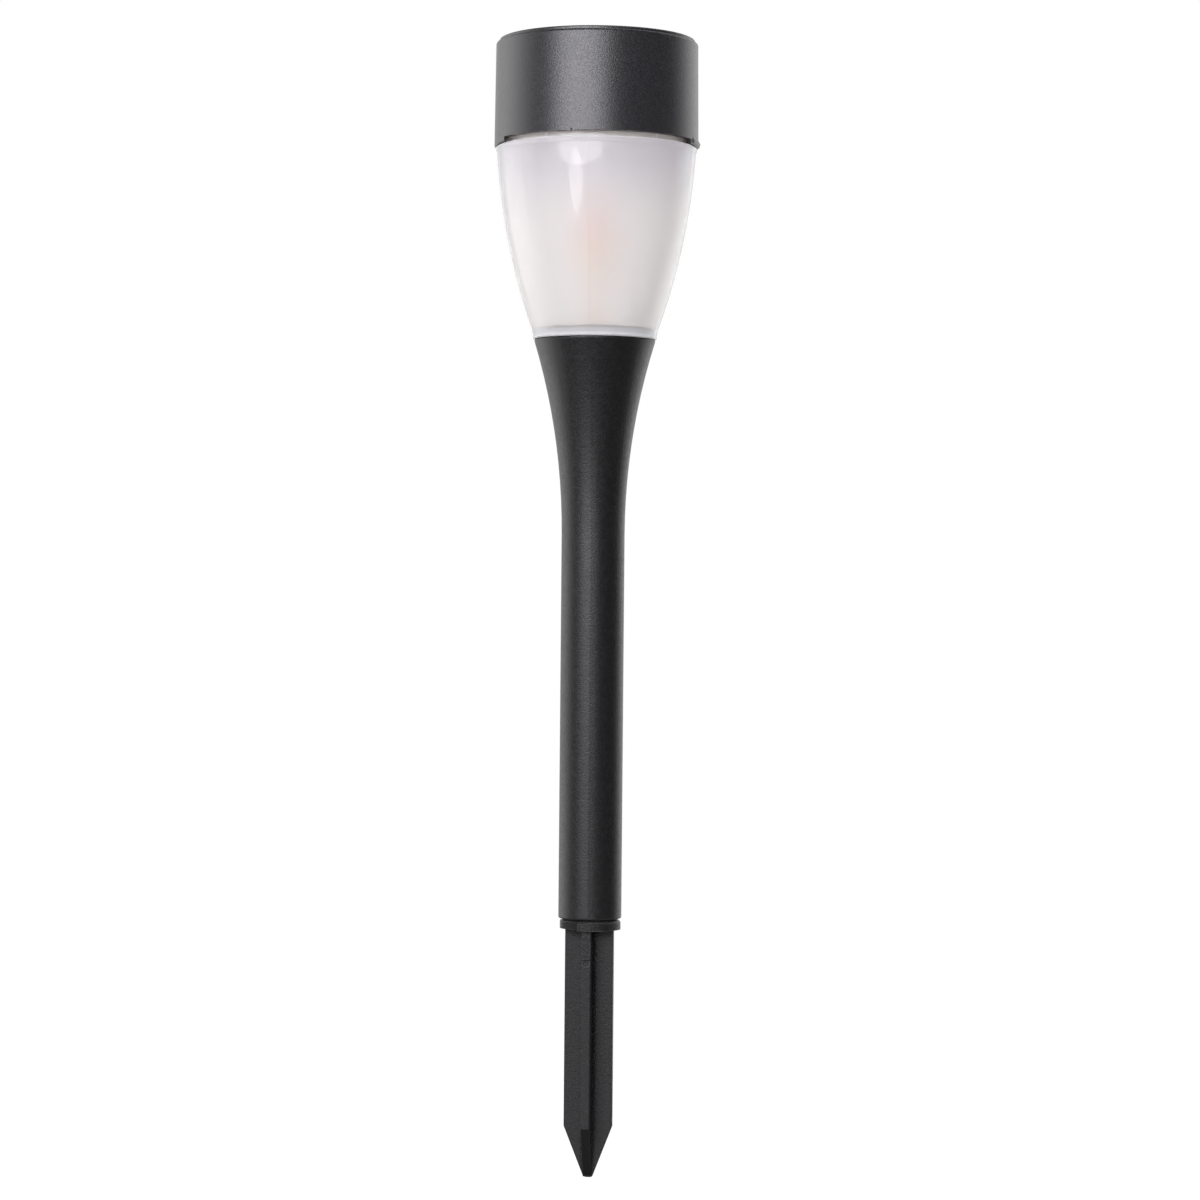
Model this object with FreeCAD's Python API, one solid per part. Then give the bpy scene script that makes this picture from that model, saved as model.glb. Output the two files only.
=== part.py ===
"""A solar garden light in the shape of a torch, as an assembly of separate pieces.

Millimetres, +Z up.  The origin is on the axis at the ground line, which is the underside of
the stake's collar.  Angles are in degrees, counted anticlockwise from +X seen from above, so
the front is at -90.
"""
import FreeCAD, Part

import math
import os

V = FreeCAD.Vector
UP = V(0, 0, 1)
FULL_TURN = 360.0

# ---------------------------------------------------------------- driving dimensions
# Ground stake
STAKE_DEPTH = 79.7           # collar underside to the tip
STAKE_TAPER = 16.3           # length of the pointed end
FIN_REACH = 7.8              # axis to a fin's edge
FIN_THICK = 2.9
TIP_ROUND = 0.5
TIP_WORN = 1.0                # the tip's rounder corners, on the left and at the front
FIN_ROUND = 0.3               # rounding of a fin's long edges
PAD_LENGTH = 9.4             # grained pad at the top of the front fin
PAD_PROUD = 0.3
PAD_GROOVE = 0.35             # small step cut under the pad
COLLAR_R = 9.65
COLLAR_T = 2.9
LIP_R = 9.92                 # proud half of the collar
LIP_DROP = 0.35              # how far the lip reaches past the plain half, above and below
LIP_START, LIP_SPAN = -106.0, 180.0
LIP_CORNER = 0.8              # rounding of the lip's upper corner where it starts
SEAT_R = 8.7
SEAT_T = 0.65
PLUG_LENGTH = 24.0
SLIP = 0.1                   # radial clearance of a push fit that comes apart by hand

# Pole
POLE_R = 10.15
POLE_WALL = 1.9
POLE_STRAIGHT = 123.4        # length of the plain tube below the flare
FLARE_HEIGHT = 62.7
FLARE_R = 212.0              # radius of the flare's curve
POLE_EDGE = 0.5
SOCKET_R = 16.2              # counterbore that takes the bowl's spigot
SOCKET_DEPTH = 7.0
SEAM_PROUD = 0.1             # the mould's parting line, on the pole and on the bowl
SEAM_WIDTH = 0.45
SEAM_ANGLE = -87.0

# Frosted bowl
FOOT_R = 20.0
FOOT_T = 1.2
BOWL_LOW_R = 20.4
BOWL_LOW_Z = 3.2             # above the pole's top
BOWL_HEIGHT = 61.6           # pole's top to the shoulder
BOWL_BULGE = 2.0             # how far the side bows out from its chord
BOWL_WALL = 1.8
RIM_LIP = 1.5                # the rim's width outside the neck ring's seat
RIM_FLARE = 0.4              # how far the rim stands out from the bowl's side
RIM_T = 1.8
FLOOR_T = 2.7
SPIGOT_WALL = 1.7
SPIGOT_LENGTH = 6.5

# Flame-shaped light guide that stands in the bowl under the lamp
FLAME_R = 5.6
FLAME_LENGTH = 29.0
FLAME_STEM_R = 1.6
FLAME_GAP = 9.6              # flame's tip to the lamp
FLAME_FOOT_R = 4.5
FLAME_FOOT_T = 1.2

# Clear neck ring
NECK_R = 29.2
NECK_WALL = 1.6
NECK_HEIGHT = 7.1            # above the shoulder
NECK_RIB_ANGLES = (-115.0, -42.0, 65.0, 138.0)
NECK_RIB = 0.3
NECK_RIB_WIDTH = 0.8
LUG_COUNT = 3
LUG_ANGLE = -30.0            # first lug
LUG_SPAN = 20.0
LUG_PROUD = 1.2
LUG_Z = 3.7                  # above the shoulder
LUG_T = 1.4
GLUE = 0.1                   # gap of a glued or trapped fit
SEAL_T = 1.6

# Solar cap
HEAD_GAP = 0.35              # neck's lugs to the cap's wall
CAP_WALL = 1.75              # at the top
CAP_DRAFT = 0.35             # how much wider the outside is at the bottom
CAP_HEIGHT = 33.4
CAP_GAP = 0.2                # shoulder to the skirt tabs
CAP_EDGE = 1.0
SKIRT_RECESS = 1.5
RECESS_STEPS = 3              # steps in which the tabs' ends go back through the wall
RECESS_WIDEN = 4.0            # degrees further for each step
TAB_ANGLE = 9.5               # middle of the right-hand tab, with the other one opposite
TAB_SPAN = 50.0
NIB_SPAN = 25.0               # wedge along the front half of the right-hand tab
NIB_PROUD = 0.6
NIB_HEIGHT = 3.4
NIB_LIFT = 0.35               # skirt's edge to the wedge's underside
NIB_SET_BACK = 3.0            # from the tab's end
MARK_ANGLE = -96.0
MARK_WIDTH = 1.6
MARK_DEPTH = 0.6
TWIST = 25.0                 # release mark to locked mark
LEDGE_CLEAR = 0.4            # neck's wall to the cap's ledges
LEDGE_T = 1.4
LEDGE_GAP = 0.2
STOP_SPAN = 2.5
STOP_GAP = 0.4               # degrees between a lug and its stop when locked
BEZEL_SEAT = 2.3             # depth of the bezel's seat below the rim
CELL_SEAT = 2.0              # depth of the cell's well below that
DECK_T = 1.4
BOSS_R = 2.8
BOSS_GAP = 0.4
BOSS_ANGLES = (90.0, 210.0, 330.0)

# Panel on top
BEZEL_INSET = 1.0            # cap's outside to the bezel's
BEZEL_WALL = 1.5
BEZEL_PROUD = 1.0
BEZEL_EDGE = 0.35
WINDOW_LAP = 2.0             # how far the bezel's lip reaches over the window
WINDOW_T = 1.6
CELL_SIDE = 40.0
CELL_T = 1.2
PAD_SIDE = 34.0
PAD_T = 0.6
LEAD_HOLE_R = 2.2
LEAD_HOLE_Y = -4.0

# Lamp housing under the cap
HOUSING_GAP = 0.6            # neck's bore to the housing
HOUSING_WALL = 1.6
HOUSING_DEPTH = 4.0          # flange underside to the plate's underside
FLANGE_GAP = 0.45
FLANGE_T = 1.6
PLATE_T = 1.6
REFLECTOR_INSET = 0.2
REFLECTOR_T = 0.8

# Rechargeable cell and its box
BATTERY_R = 5.0
BATTERY_CAN = 28.2
BATTERY_NUB = 1.0
BATTERY_NUB_R = 1.7
BOX_GAP = 0.2                # box to the nearest boss
BOX_SIDE_GAP = 0.8
BOX_WALL = 1.2
LEAF_DEPTH = 4.0
CONTACT_T = 0.4
CONTACT_WIDTH = 8.0
TAIL_WIDTH = 2.0
TAIL_ABOVE = 1.4
DOOR_FLANGE_T = 1.2
DOOR_LAP = 0.7
DOOR_GAP = 0.3
DOOR_SCREW_X = -12.0
DOOR_SCREW_OUT = 2.8         # box's wall to the door screw
EAR_R = 3.0

# Electronics
BOARD_X, BOARD_Y0 = 14.0, -19.0
BOARD_GAP = 1.6              # battery box to the board
BOARD_T = 1.2
BOARD_RISE = 6.4             # plate's top to the board
BOARD_SCREW_X, BOARD_SCREW_Y = 11.5, -16.5
LED_R = 2.5
LED_FLANGE_R = 2.9
LED_FLANGE_T = 1.0
LED_LENGTH = 8.6
LED_PIN_PITCH = 2.54
LED_PIN_R = 0.25
SWITCH_Y = -13.0
SWITCH_LENGTH, SWITCH_WIDTH, SWITCH_HEIGHT = 9.0, 4.0, 4.0
SWITCH_TRAVEL = 2.0
KNOB_LENGTH, KNOB_WIDTH = 1.8, 1.6
KNOB_PROUD = 1.2
KNOB_FOOT = 3.6
KNOB_FOOT_T = 1.0
RUNNING = 0.1                # gap round a piece that slides
LEAD_R = 0.55

# Self-tapping screws: thread radius, head radius, head height
HOUSING_SCREW = (1.3, 2.4, 1.7)
DOOR_SCREW = (1.0, 2.0, 1.4)
BOARD_SCREW = (0.8, 1.6, 1.1)
THREAD_GAP = 0.05
HOUSING_SCREW_BITE = 9.0

# ---------------------------------------------------------------- radii worked out from them
RIM_R = NECK_R + BOWL_WALL + RIM_LIP
BOWL_HIGH_R = RIM_R - RIM_FLARE
LUG_R = NECK_R + LUG_PROUD
CAP_BORE_R = LUG_R + HEAD_GAP
CAP_HIGH_R = CAP_BORE_R + CAP_WALL
CAP_LOW_R = CAP_HIGH_R + CAP_DRAFT
LEDGE_IN_R = NECK_R + LEDGE_CLEAR
BEZEL_R = CAP_HIGH_R - BEZEL_INSET
WINDOW_R = BEZEL_R - BEZEL_WALL
BEZEL_LIP_R = WINDOW_R - WINDOW_LAP
HOUSING_R = NECK_R - NECK_WALL - HOUSING_GAP
FLANGE_R = CAP_BORE_R - FLANGE_GAP
REFLECTOR_R = HOUSING_R - REFLECTOR_INSET
BOSS_CIRCLE_R = HOUSING_R - HOUSING_WALL - BOSS_R - BOSS_GAP

# ---------------------------------------------------------------- levels worked out from them
POLE_BASE = COLLAR_T + SEAT_T
POLE_TOP = POLE_BASE + POLE_STRAIGHT + FLARE_HEIGHT
SHOULDER = POLE_TOP + BOWL_HEIGHT
NECK_TOP = SHOULDER + NECK_HEIGHT
FLANGE_Z = NECK_TOP + SEAL_T
PLATE_Z = FLANGE_Z - HOUSING_DEPTH
PLATE_TOP = PLATE_Z + PLATE_T
REFLECTOR_Z = PLATE_Z - REFLECTOR_T
BOARD_Z = PLATE_TOP + BOARD_RISE
BOARD_TOP = BOARD_Z + BOARD_T
CAP_BASE = SHOULDER + CAP_GAP
CAP_TOP = CAP_BASE + CAP_HEIGHT
BEZEL_Z = CAP_TOP - BEZEL_SEAT
DECK_TOP = BEZEL_Z - CELL_SEAT
DECK_Z = DECK_TOP - DECK_T
CELL_Z = DECK_TOP + PAD_T
DOOR_TOP = PLATE_TOP - 0.2
BATTERY_Z = DOOR_TOP + 0.1 + BATTERY_R
BOX_HALF_X = (BATTERY_CAN + BATTERY_NUB + LEAF_DEPTH + CONTACT_T + 2 * GLUE) / 2
BOX_HALF_Y = BATTERY_R + BOX_SIDE_GAP
BOX_Y = BOSS_CIRCLE_R - BOSS_R - BOX_GAP - BOX_WALL - BOX_HALF_Y
BOX_NEAR_Y = BOX_Y - BOX_HALF_Y - BOX_WALL
DOOR_SCREW_XY = (DOOR_SCREW_X, BOX_NEAR_Y - DOOR_SCREW_OUT)
BOARD_Y1 = BOX_NEAR_Y - BOARD_GAP
BOX_ROOF = BATTERY_Z + BATTERY_R + 0.7
BOX_TOP = BOX_ROOF + BOX_WALL


# ---------------------------------------------------------------- helpers
def solid_of(shape):
    """The single solid of a boolean's result, with its split faces joined again."""
    shape = shape.removeSplitter()
    return shape.Solids[0] if len(shape.Solids) == 1 else shape


def fuse(*shapes):
    return solid_of(shapes[0].multiFuse(list(shapes[1:])))


def cut(shape, *tools):
    return solid_of(shape.cut(list(tools)))


def disc(radius, z0, z1, x=0.0, y=0.0):
    return Part.makeCylinder(radius, z1 - z0, V(x, y, z0), UP)


def ring(inner, outer, z0, z1, x=0.0, y=0.0):
    return disc(outer, z0, z1, x, y).cut(disc(inner, z0, z1, x, y))


def sector(inner, outer, z0, z1, start, span):
    """Part of a ring, from the start angle through the span."""
    wedge = Part.makeCylinder(outer, z1 - z0, V(0, 0, z0), UP, span)
    wedge.rotate(V(0, 0, 0), UP, start)
    return wedge.cut(disc(inner, z0, z1)) if inner > 0 else wedge


def block(x0, x1, y0, y1, z0, z1):
    return Part.makeBox(x1 - x0, y1 - y0, z1 - z0, V(x0, y0, z0))


def around(angle, radius):
    """X and Y of a point at an angle and a distance from the axis."""
    return radius * math.cos(math.radians(angle)), radius * math.sin(math.radians(angle))


def turned(shape, angle):
    shape.rotate(V(0, 0, 0), UP, angle)
    return shape


def in_section(r, z):
    return V(r, 0, z)


def lathe(edges):
    """A solid turned about Z from the edges of a closed outline in the XZ plane."""
    face = Part.Face(Part.Wire(edges))
    return face.revolve(V(0, 0, 0), UP, FULL_TURN)


def outline(*pieces):
    """Edges through points; a piece (middle, end) is an arc, and a plain vector is a line."""
    edges, here = [], pieces[0]
    for piece in pieces[1:]:
        if isinstance(piece, tuple):
            edges.append(Part.Arc(here, piece[0], piece[1]).toShape())
            here = piece[1]
        else:
            edges.append(Part.LineSegment(here, piece).toShape())
            here = piece
    edges.append(Part.LineSegment(here, pieces[0]).toShape())
    return edges


def plate_from(points, axis, thickness):
    """A flat plate from a closed polygon, as thick as it says along its axis."""
    face = Part.Face(Part.makePolygon(points + points[:1]))
    return face.extrude(axis * thickness)


def rounded_edges(shape, radius, wanted):
    """The shape with every edge rounded that the test picks out."""
    edges = [edge for edge in shape.Edges if wanted(edge)]
    return solid_of(shape.makeFillet(radius, edges)) if edges else shape


def level_edge(z, radius=None):
    """A test for round edges that lie at one height, and at one radius if it is given."""
    def wanted(edge):
        box = edge.BoundBox
        flat = abs(box.ZMin - z) < 1e-3 and abs(box.ZMax - z) < 1e-3
        round_one = isinstance(edge.Curve, Part.Circle)
        return flat and round_one and (radius is None or abs(edge.Curve.Radius - radius) < 1e-3)
    return wanted


def screw(sizes, x, y, head_top, length):
    """A pan-head screw with a cross recess, its point up and its head below head_top."""
    thread, head, height = sizes
    crown = disc(head, head_top - height, head_top, x, y)
    crown = rounded_edges(crown, height * 0.45, level_edge(head_top - height))
    shank = disc(thread, head_top, head_top + length - thread, x, y)
    point = Part.makeCone(thread, thread * 0.3, thread, V(x, y, head_top + length - thread), UP)
    arm, slot, depth = head * 0.55, head * 0.11, height * 0.55
    bottom = head_top - height
    recess = [block(x - arm, x + arm, y - slot, y + slot, bottom, bottom + depth),
              block(x - slot, x + slot, y - arm, y + arm, bottom, bottom + depth)]
    return cut(fuse(crown, shank, point), *recess)


def wire_lead(points, radius):
    """An insulated lead: straight runs joined by tangent arcs as large as the runs allow."""
    edges, here = [], points[0]
    for before, corner, after in zip(points, points[1:], points[2:]):
        into, out = (corner - before), (after - corner)
        run = min(into.Length, out.Length)
        into.normalize()
        out.normalize()
        half_turn = math.acos(max(-1.0, min(1.0, into.dot(out)))) / 2
        back = 0.45 * run
        bend_r = back / math.tan(half_turn)
        start, end = corner - into * back, corner + out * back
        inward = (out - into).normalize()
        middle = corner + inward * (bend_r / math.cos(half_turn) - bend_r)
        edges.append(Part.LineSegment(here, start).toShape())
        edges.append(Part.Arc(start, middle, end).toShape())
        here = end
    edges.append(Part.LineSegment(here, points[-1]).toShape())
    path = Part.Wire(edges)
    first = points[1] - points[0]
    section = Part.Wire(Part.makeCircle(radius, points[0], first))
    return path.makePipeShell([section], True, True)


def save(name, shape):
    shape.exportStep(os.path.join("parts", name + ".step"))
    print("%-20s %2d solid(s) %10.1f mm3" % (name, len(shape.Solids), shape.Volume))


# ---------------------------------------------------------------- stake
def fin_pair(reach, bottom, top, axis_x):
    """Two opposite fins in one plate, pointed at the tip, with their long edges rounded."""
    half = FIN_THICK / 2
    taper = bottom + STAKE_TAPER
    tip = half + TIP_ROUND * 0.4

    def side(way, corner):
        return [(way * (half - corner), bottom), (way * (tip - 0.3 * corner), bottom + 0.3 * corner),
                (way * tip, bottom + corner), (way * reach, taper), (way * reach, top)]

    flat = side(1, TIP_ROUND) + side(-1, TIP_WORN)[::-1]
    if axis_x:
        plate = plate_from([V(a, -half, z) for a, z in flat], V(0, 1, 0), FIN_THICK)
    else:
        plate = plate_from([V(-half, a, z) for a, z in flat], V(1, 0, 0), FIN_THICK)
    return rounded_edges(plate, FIN_ROUND, lambda edge: edge.BoundBox.ZLength > 2 * half)


def ground_stake():
    """Four-finned stake, its collar, and the cross-shaped plug that fills the pole's end."""
    fins = [fin_pair(FIN_REACH, -STAKE_DEPTH, COLLAR_T, axis_x) for axis_x in (True, False)]
    half = FIN_THICK / 2

    def below_collar(edge):
        return edge.BoundBox.YMax < -FIN_REACH and edge.BoundBox.ZMin < 0

    pad = block(-half, half, -FIN_REACH - PAD_PROUD, 0, -PAD_LENGTH, 0)
    pad = rounded_edges(pad, PAD_PROUD / 2, below_collar)
    web = disc(half * 1.45, -STAKE_DEPTH + STAKE_TAPER, COLLAR_T)
    collar = disc(COLLAR_R, LIP_DROP, COLLAR_T)
    collar = rounded_edges(collar, 0.3, level_edge(COLLAR_T))
    lip = sector(0, LIP_R, 0, COLLAR_T - LIP_DROP, LIP_START, LIP_SPAN)
    lip = rounded_edges(lip, 0.3, level_edge(COLLAR_T - LIP_DROP, LIP_R))
    lip_top = COLLAR_T - LIP_DROP
    corner = block(0, 2 * LIP_R, -LIP_CORNER, LIP_CORNER, lip_top - LIP_CORNER, lip_top + LIP_CORNER)
    corner = corner.cut(Part.makeCylinder(LIP_CORNER, 2 * LIP_R,
                                          V(0, LIP_CORNER, lip_top - LIP_CORNER), V(1, 0, 0)))
    lip = cut(lip, turned(corner, LIP_START))
    seat = disc(SEAT_R, COLLAR_T, POLE_BASE)
    plug_top = POLE_BASE + PLUG_LENGTH
    envelope = disc(POLE_R - POLE_WALL - SLIP, COLLAR_T, plug_top)
    envelope = envelope.makeChamfer(1.6, [e for e in envelope.Edges if level_edge(plug_top)(e)])
    reach = POLE_R
    cross = fuse(block(-reach, reach, -half, half, COLLAR_T, plug_top),
                 block(-half, half, -reach, reach, COLLAR_T, plug_top))
    plug = cross.common(envelope)
    stake = fuse(fins[0], fins[1], pad, web, collar, lip, seat, plug)
    gate_mark = Part.makeCylinder(half * 0.75, 0.5, V(0, -FIN_REACH - 0.01, -PAD_LENGTH - half * 0.75),
                                  V(0, 1, 0))
    groove = block(-half * 0.8, half * 0.8, -FIN_REACH - 0.01, -FIN_REACH + PAD_GROOVE,
                   -PAD_LENGTH - PAD_GROOVE, -PAD_LENGTH)
    stake = cut(stake, gate_mark, groove)
    save("ground_stake", stake)


# ---------------------------------------------------------------- pole
def flare_centre():
    return POLE_R + FLARE_R, POLE_BASE + POLE_STRAIGHT


def flare_radius(z, inset=0.0):
    """The pole's radius at a height in the flare, or of its bore when an inset is given."""
    cx, cz = flare_centre()
    return cx - math.sqrt((FLARE_R + inset) ** 2 - (z - cz) ** 2)


def with_seams(body, outline_at, radius, z0, z1):
    """The body with the mould's parting line down both sides, between two heights."""
    span = math.degrees(SEAM_WIDTH / radius)
    strips = []
    for side in (0.0, FULL_TURN / 2):
        face = Part.Face(Part.Wire(outline_at(SEAM_PROUD)))
        strip = face.revolve(V(0, 0, 0), UP, span).common(disc(2 * CAP_LOW_R, z0, z1))
        strips.append(turned(strip, SEAM_ANGLE + side - span / 2))
    return fuse(body, *strips)


def pole_outline(grow=0.0):
    """Section of the pole's wall, its outside larger by grow."""
    _, straight_top = flare_centre()
    middle = (straight_top + POLE_TOP) / 2
    socket_z = POLE_TOP - SOCKET_DEPTH
    bore_r = POLE_R - POLE_WALL
    bore_middle = (straight_top + socket_z) / 2
    return outline(
        in_section(bore_r, POLE_BASE),
        in_section(POLE_R + grow, POLE_BASE),
        in_section(POLE_R + grow, straight_top),
        (in_section(flare_radius(middle) + grow, middle),
         in_section(flare_radius(POLE_TOP) + grow, POLE_TOP)),
        in_section(SOCKET_R, POLE_TOP),
        in_section(SOCKET_R, socket_z),
        in_section(flare_radius(socket_z, POLE_WALL), socket_z),
        (in_section(flare_radius(bore_middle, POLE_WALL), bore_middle),
         in_section(bore_r, straight_top)))


def pole():
    """Hollow tube that flares like a trumpet, with a socket in its wide end."""
    tube = lathe(pole_outline())
    tube = rounded_edges(tube, POLE_EDGE, level_edge(POLE_TOP, flare_radius(POLE_TOP)))
    tube = rounded_edges(tube, POLE_EDGE, level_edge(POLE_BASE, POLE_R))
    save("pole", with_seams(tube, pole_outline, POLE_R, POLE_BASE + POLE_EDGE,
                            POLE_TOP - POLE_EDGE))


# ---------------------------------------------------------------- bowl and neck
def bowed(low, high, bulge):
    """The middle point of an arc from low to high that bows outwards by the bulge."""
    chord = high - low
    outwards = V(chord.z, 0, -chord.x)
    outwards.normalize()
    return (low + high) * 0.5 + outwards * bulge


def bowl_outline(grow=0.0):
    """Section of the bowl from its axis, its outside larger by grow."""
    low = in_section(BOWL_LOW_R + grow, POLE_TOP + BOWL_LOW_Z)
    high = in_section(BOWL_HIGH_R + grow, SHOULDER - RIM_T)
    floor = POLE_TOP + FLOOR_T
    low_in = in_section(BOWL_LOW_R - BOWL_WALL, floor + BOWL_WALL / 2)
    high_in = in_section(BOWL_HIGH_R - BOWL_WALL, SHOULDER - RIM_T)
    seat_r = NECK_R + BOWL_WALL
    spigot_r = SOCKET_R - SLIP
    return outline(
        in_section(0, POLE_TOP),
        in_section(spigot_r - SPIGOT_WALL, POLE_TOP),
        in_section(spigot_r - SPIGOT_WALL, POLE_TOP - SPIGOT_LENGTH),
        in_section(spigot_r - 0.4, POLE_TOP - SPIGOT_LENGTH),
        in_section(spigot_r, POLE_TOP - SPIGOT_LENGTH + 0.8),
        in_section(spigot_r, POLE_TOP),
        in_section(FOOT_R - 0.2, POLE_TOP),
        in_section(FOOT_R, POLE_TOP + 0.3),
        in_section(FOOT_R + grow, POLE_TOP + FOOT_T),
        low,
        (bowed(low, high, BOWL_BULGE), high),
        in_section(RIM_R, SHOULDER - 0.4),
        in_section(RIM_R - 0.3, SHOULDER),
        in_section(seat_r, SHOULDER),
        in_section(seat_r, SHOULDER - RIM_T),
        high_in,
        (bowed(high_in, low_in, -BOWL_BULGE), low_in),
        in_section(BOWL_LOW_R - 2 * BOWL_WALL, floor),
        in_section(0, floor))


def frosted_bowl():
    """Tapered cup with a foot on the pole's rim and a spigot in the pole's socket."""
    save("frosted_bowl", with_seams(lathe(bowl_outline()), bowl_outline, BOWL_HIGH_R,
                                    POLE_TOP + FOOT_T, SHOULDER - RIM_T))


def flame_insert():
    """Turned light guide in the shape of a flame, on a stem that stands on the bowl's floor."""
    floor = POLE_TOP + FLOOR_T
    base = PLATE_TOP - LED_LENGTH - FLAME_GAP - FLAME_LENGTH
    save("flame_insert", lathe(outline(
        in_section(0, floor),
        in_section(FLAME_FOOT_R, floor),
        in_section(FLAME_FOOT_R, floor + FLAME_FOOT_T),
        in_section(FLAME_STEM_R, floor + FLAME_FOOT_T + 1.0),
        in_section(FLAME_STEM_R, base),
        (in_section(FLAME_R, base + FLAME_LENGTH * 0.26),
         in_section(FLAME_R * 0.62, base + FLAME_LENGTH * 0.60)),
        (in_section(FLAME_R * 0.31, base + FLAME_LENGTH * 0.78),
         in_section(FLAME_R * 0.08, base + FLAME_LENGTH)),
        in_section(0, base + FLAME_LENGTH))))


def lug_angles():
    return [LUG_ANGLE + index * FULL_TURN / LUG_COUNT for index in range(LUG_COUNT)]


def neck_ring():
    """Clear ring glued in the bowl's mouth, with guide ribs and the lugs that lock the cap."""
    bore = NECK_R - NECK_WALL
    ring_z = SHOULDER - RIM_T
    body = fuse(ring(bore, NECK_R + BOWL_WALL - GLUE, ring_z, SHOULDER),
                ring(bore, NECK_R, ring_z, NECK_TOP))
    extras = []
    for angle in NECK_RIB_ANGLES:
        rib = block(NECK_R - 0.5, NECK_R + NECK_RIB, -NECK_RIB_WIDTH / 2, NECK_RIB_WIDTH / 2,
                    SHOULDER - 0.2, SHOULDER + LUG_Z)
        extras.append(turned(rib, angle))
    for angle in lug_angles():
        extras.append(sector(NECK_R - 0.5, LUG_R, SHOULDER + LUG_Z, SHOULDER + LUG_Z + LUG_T,
                             angle - LUG_SPAN / 2, LUG_SPAN))
    save("neck_ring", fuse(body, *extras))


def neck_seal():
    """Soft ring between the neck's top edge and the lamp housing's flange."""
    body = ring(NECK_R - NECK_WALL - 0.3, NECK_R + 0.1, NECK_TOP, FLANGE_Z)
    save("neck_seal", body)


# ---------------------------------------------------------------- solar cap
def cap_shell_body():
    edges = outline(
        in_section(CAP_BORE_R, CAP_BASE),
        in_section(CAP_LOW_R, CAP_BASE),
        in_section(CAP_HIGH_R, CAP_TOP),
        in_section(BEZEL_R + GLUE, CAP_TOP),
        in_section(BEZEL_R + GLUE, BEZEL_Z),
        in_section(WINDOW_R - 1.0, BEZEL_Z),
        in_section(WINDOW_R - 1.0, DECK_TOP),
        in_section(0, DECK_TOP),
        in_section(0, DECK_Z),
        in_section(CAP_BORE_R, DECK_Z))
    body = lathe(edges)
    rim_wall = CAP_HIGH_R - BEZEL_R - GLUE
    body = rounded_edges(body, min(CAP_EDGE, rim_wall * 0.85), level_edge(CAP_TOP, CAP_HIGH_R))
    return rounded_edges(body, 0.3, level_edge(CAP_BASE, CAP_LOW_R))


def cap_features():
    """Bayonet ledges and stops inside the wall, screw bosses under the deck, and the nib."""
    features = []
    ledge_top = SHOULDER + LUG_Z - LEDGE_GAP
    for angle in lug_angles():
        start = angle + TWIST - LUG_SPAN / 2
        features.append(sector(LEDGE_IN_R, CAP_BORE_R + 0.3, ledge_top - LEDGE_T, ledge_top,
                               start, LUG_SPAN + STOP_GAP + STOP_SPAN))
        features.append(sector(LEDGE_IN_R, CAP_BORE_R + 0.3, ledge_top - LEDGE_T,
                               ledge_top + LUG_T, start + LUG_SPAN + STOP_GAP, STOP_SPAN))
    for angle in BOSS_ANGLES:
        x, y = around(angle, BOSS_CIRCLE_R)
        features.append(disc(BOSS_R, PLATE_TOP, DECK_Z + 0.3, x, y))
    root_r = CAP_BORE_R + 0.5
    wedge = outline(in_section(root_r, CAP_BASE + NIB_LIFT),
                    in_section(CAP_LOW_R + NIB_PROUD / 2, CAP_BASE + NIB_LIFT),
                    in_section(CAP_LOW_R + NIB_PROUD, CAP_BASE + NIB_HEIGHT / 3),
                    in_section(root_r, CAP_BASE + NIB_HEIGHT * 1.5))
    nib = Part.Face(Part.Wire(wedge)).revolve(V(0, 0, 0), UP, NIB_SPAN)
    features.append(turned(nib, TAB_ANGLE - TAB_SPAN / 2 + NIB_SET_BACK))
    return features


def skirt_cuts():
    """The recess between the skirt's tabs, wider towards the inside, and the small mark in its edge."""
    cuts = []
    step_t = (CAP_LOW_R - CAP_BORE_R) / RECESS_STEPS
    for tab in (TAB_ANGLE, TAB_ANGLE + FULL_TURN / 2):
        for step in range(RECESS_STEPS):
            outer = CAP_LOW_R - step * step_t + (0 if step else 1)
            widen = step * RECESS_WIDEN
            cuts.append(sector(CAP_LOW_R - (step + 1) * step_t - 0.05, outer, CAP_BASE - 1,
                               CAP_BASE + SKIRT_RECESS, tab + TAB_SPAN / 2 - widen,
                               FULL_TURN / 2 - TAB_SPAN + 2 * widen))
    half = MARK_WIDTH / 2
    base = CAP_BASE + SKIRT_RECESS
    mark = plate_from([V(CAP_BORE_R - 0.5, -half, base - 0.1), V(CAP_BORE_R - 0.5, half, base - 0.1),
                       V(CAP_BORE_R - 0.5, 0, base + MARK_DEPTH)], V(1, 0, 0), 4.0)
    cuts.append(turned(mark, MARK_ANGLE))
    return cuts


def solar_cap():
    """Outer shell of the head, open below, with a deck that carries the solar cell."""
    body = fuse(cap_shell_body(), *cap_features())
    cuts = skirt_cuts()
    thread = HOUSING_SCREW[0] + THREAD_GAP
    for angle in BOSS_ANGLES:
        x, y = around(angle, BOSS_CIRCLE_R)
        cuts.append(disc(thread, PLATE_TOP - 1, PLATE_TOP + HOUSING_SCREW_BITE + 1, x, y))
    cuts.append(disc(LEAD_HOLE_R, DECK_Z - 1, DECK_TOP + 1, 0, LEAD_HOLE_Y))
    save("solar_cap", cut(body, *cuts))


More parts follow.
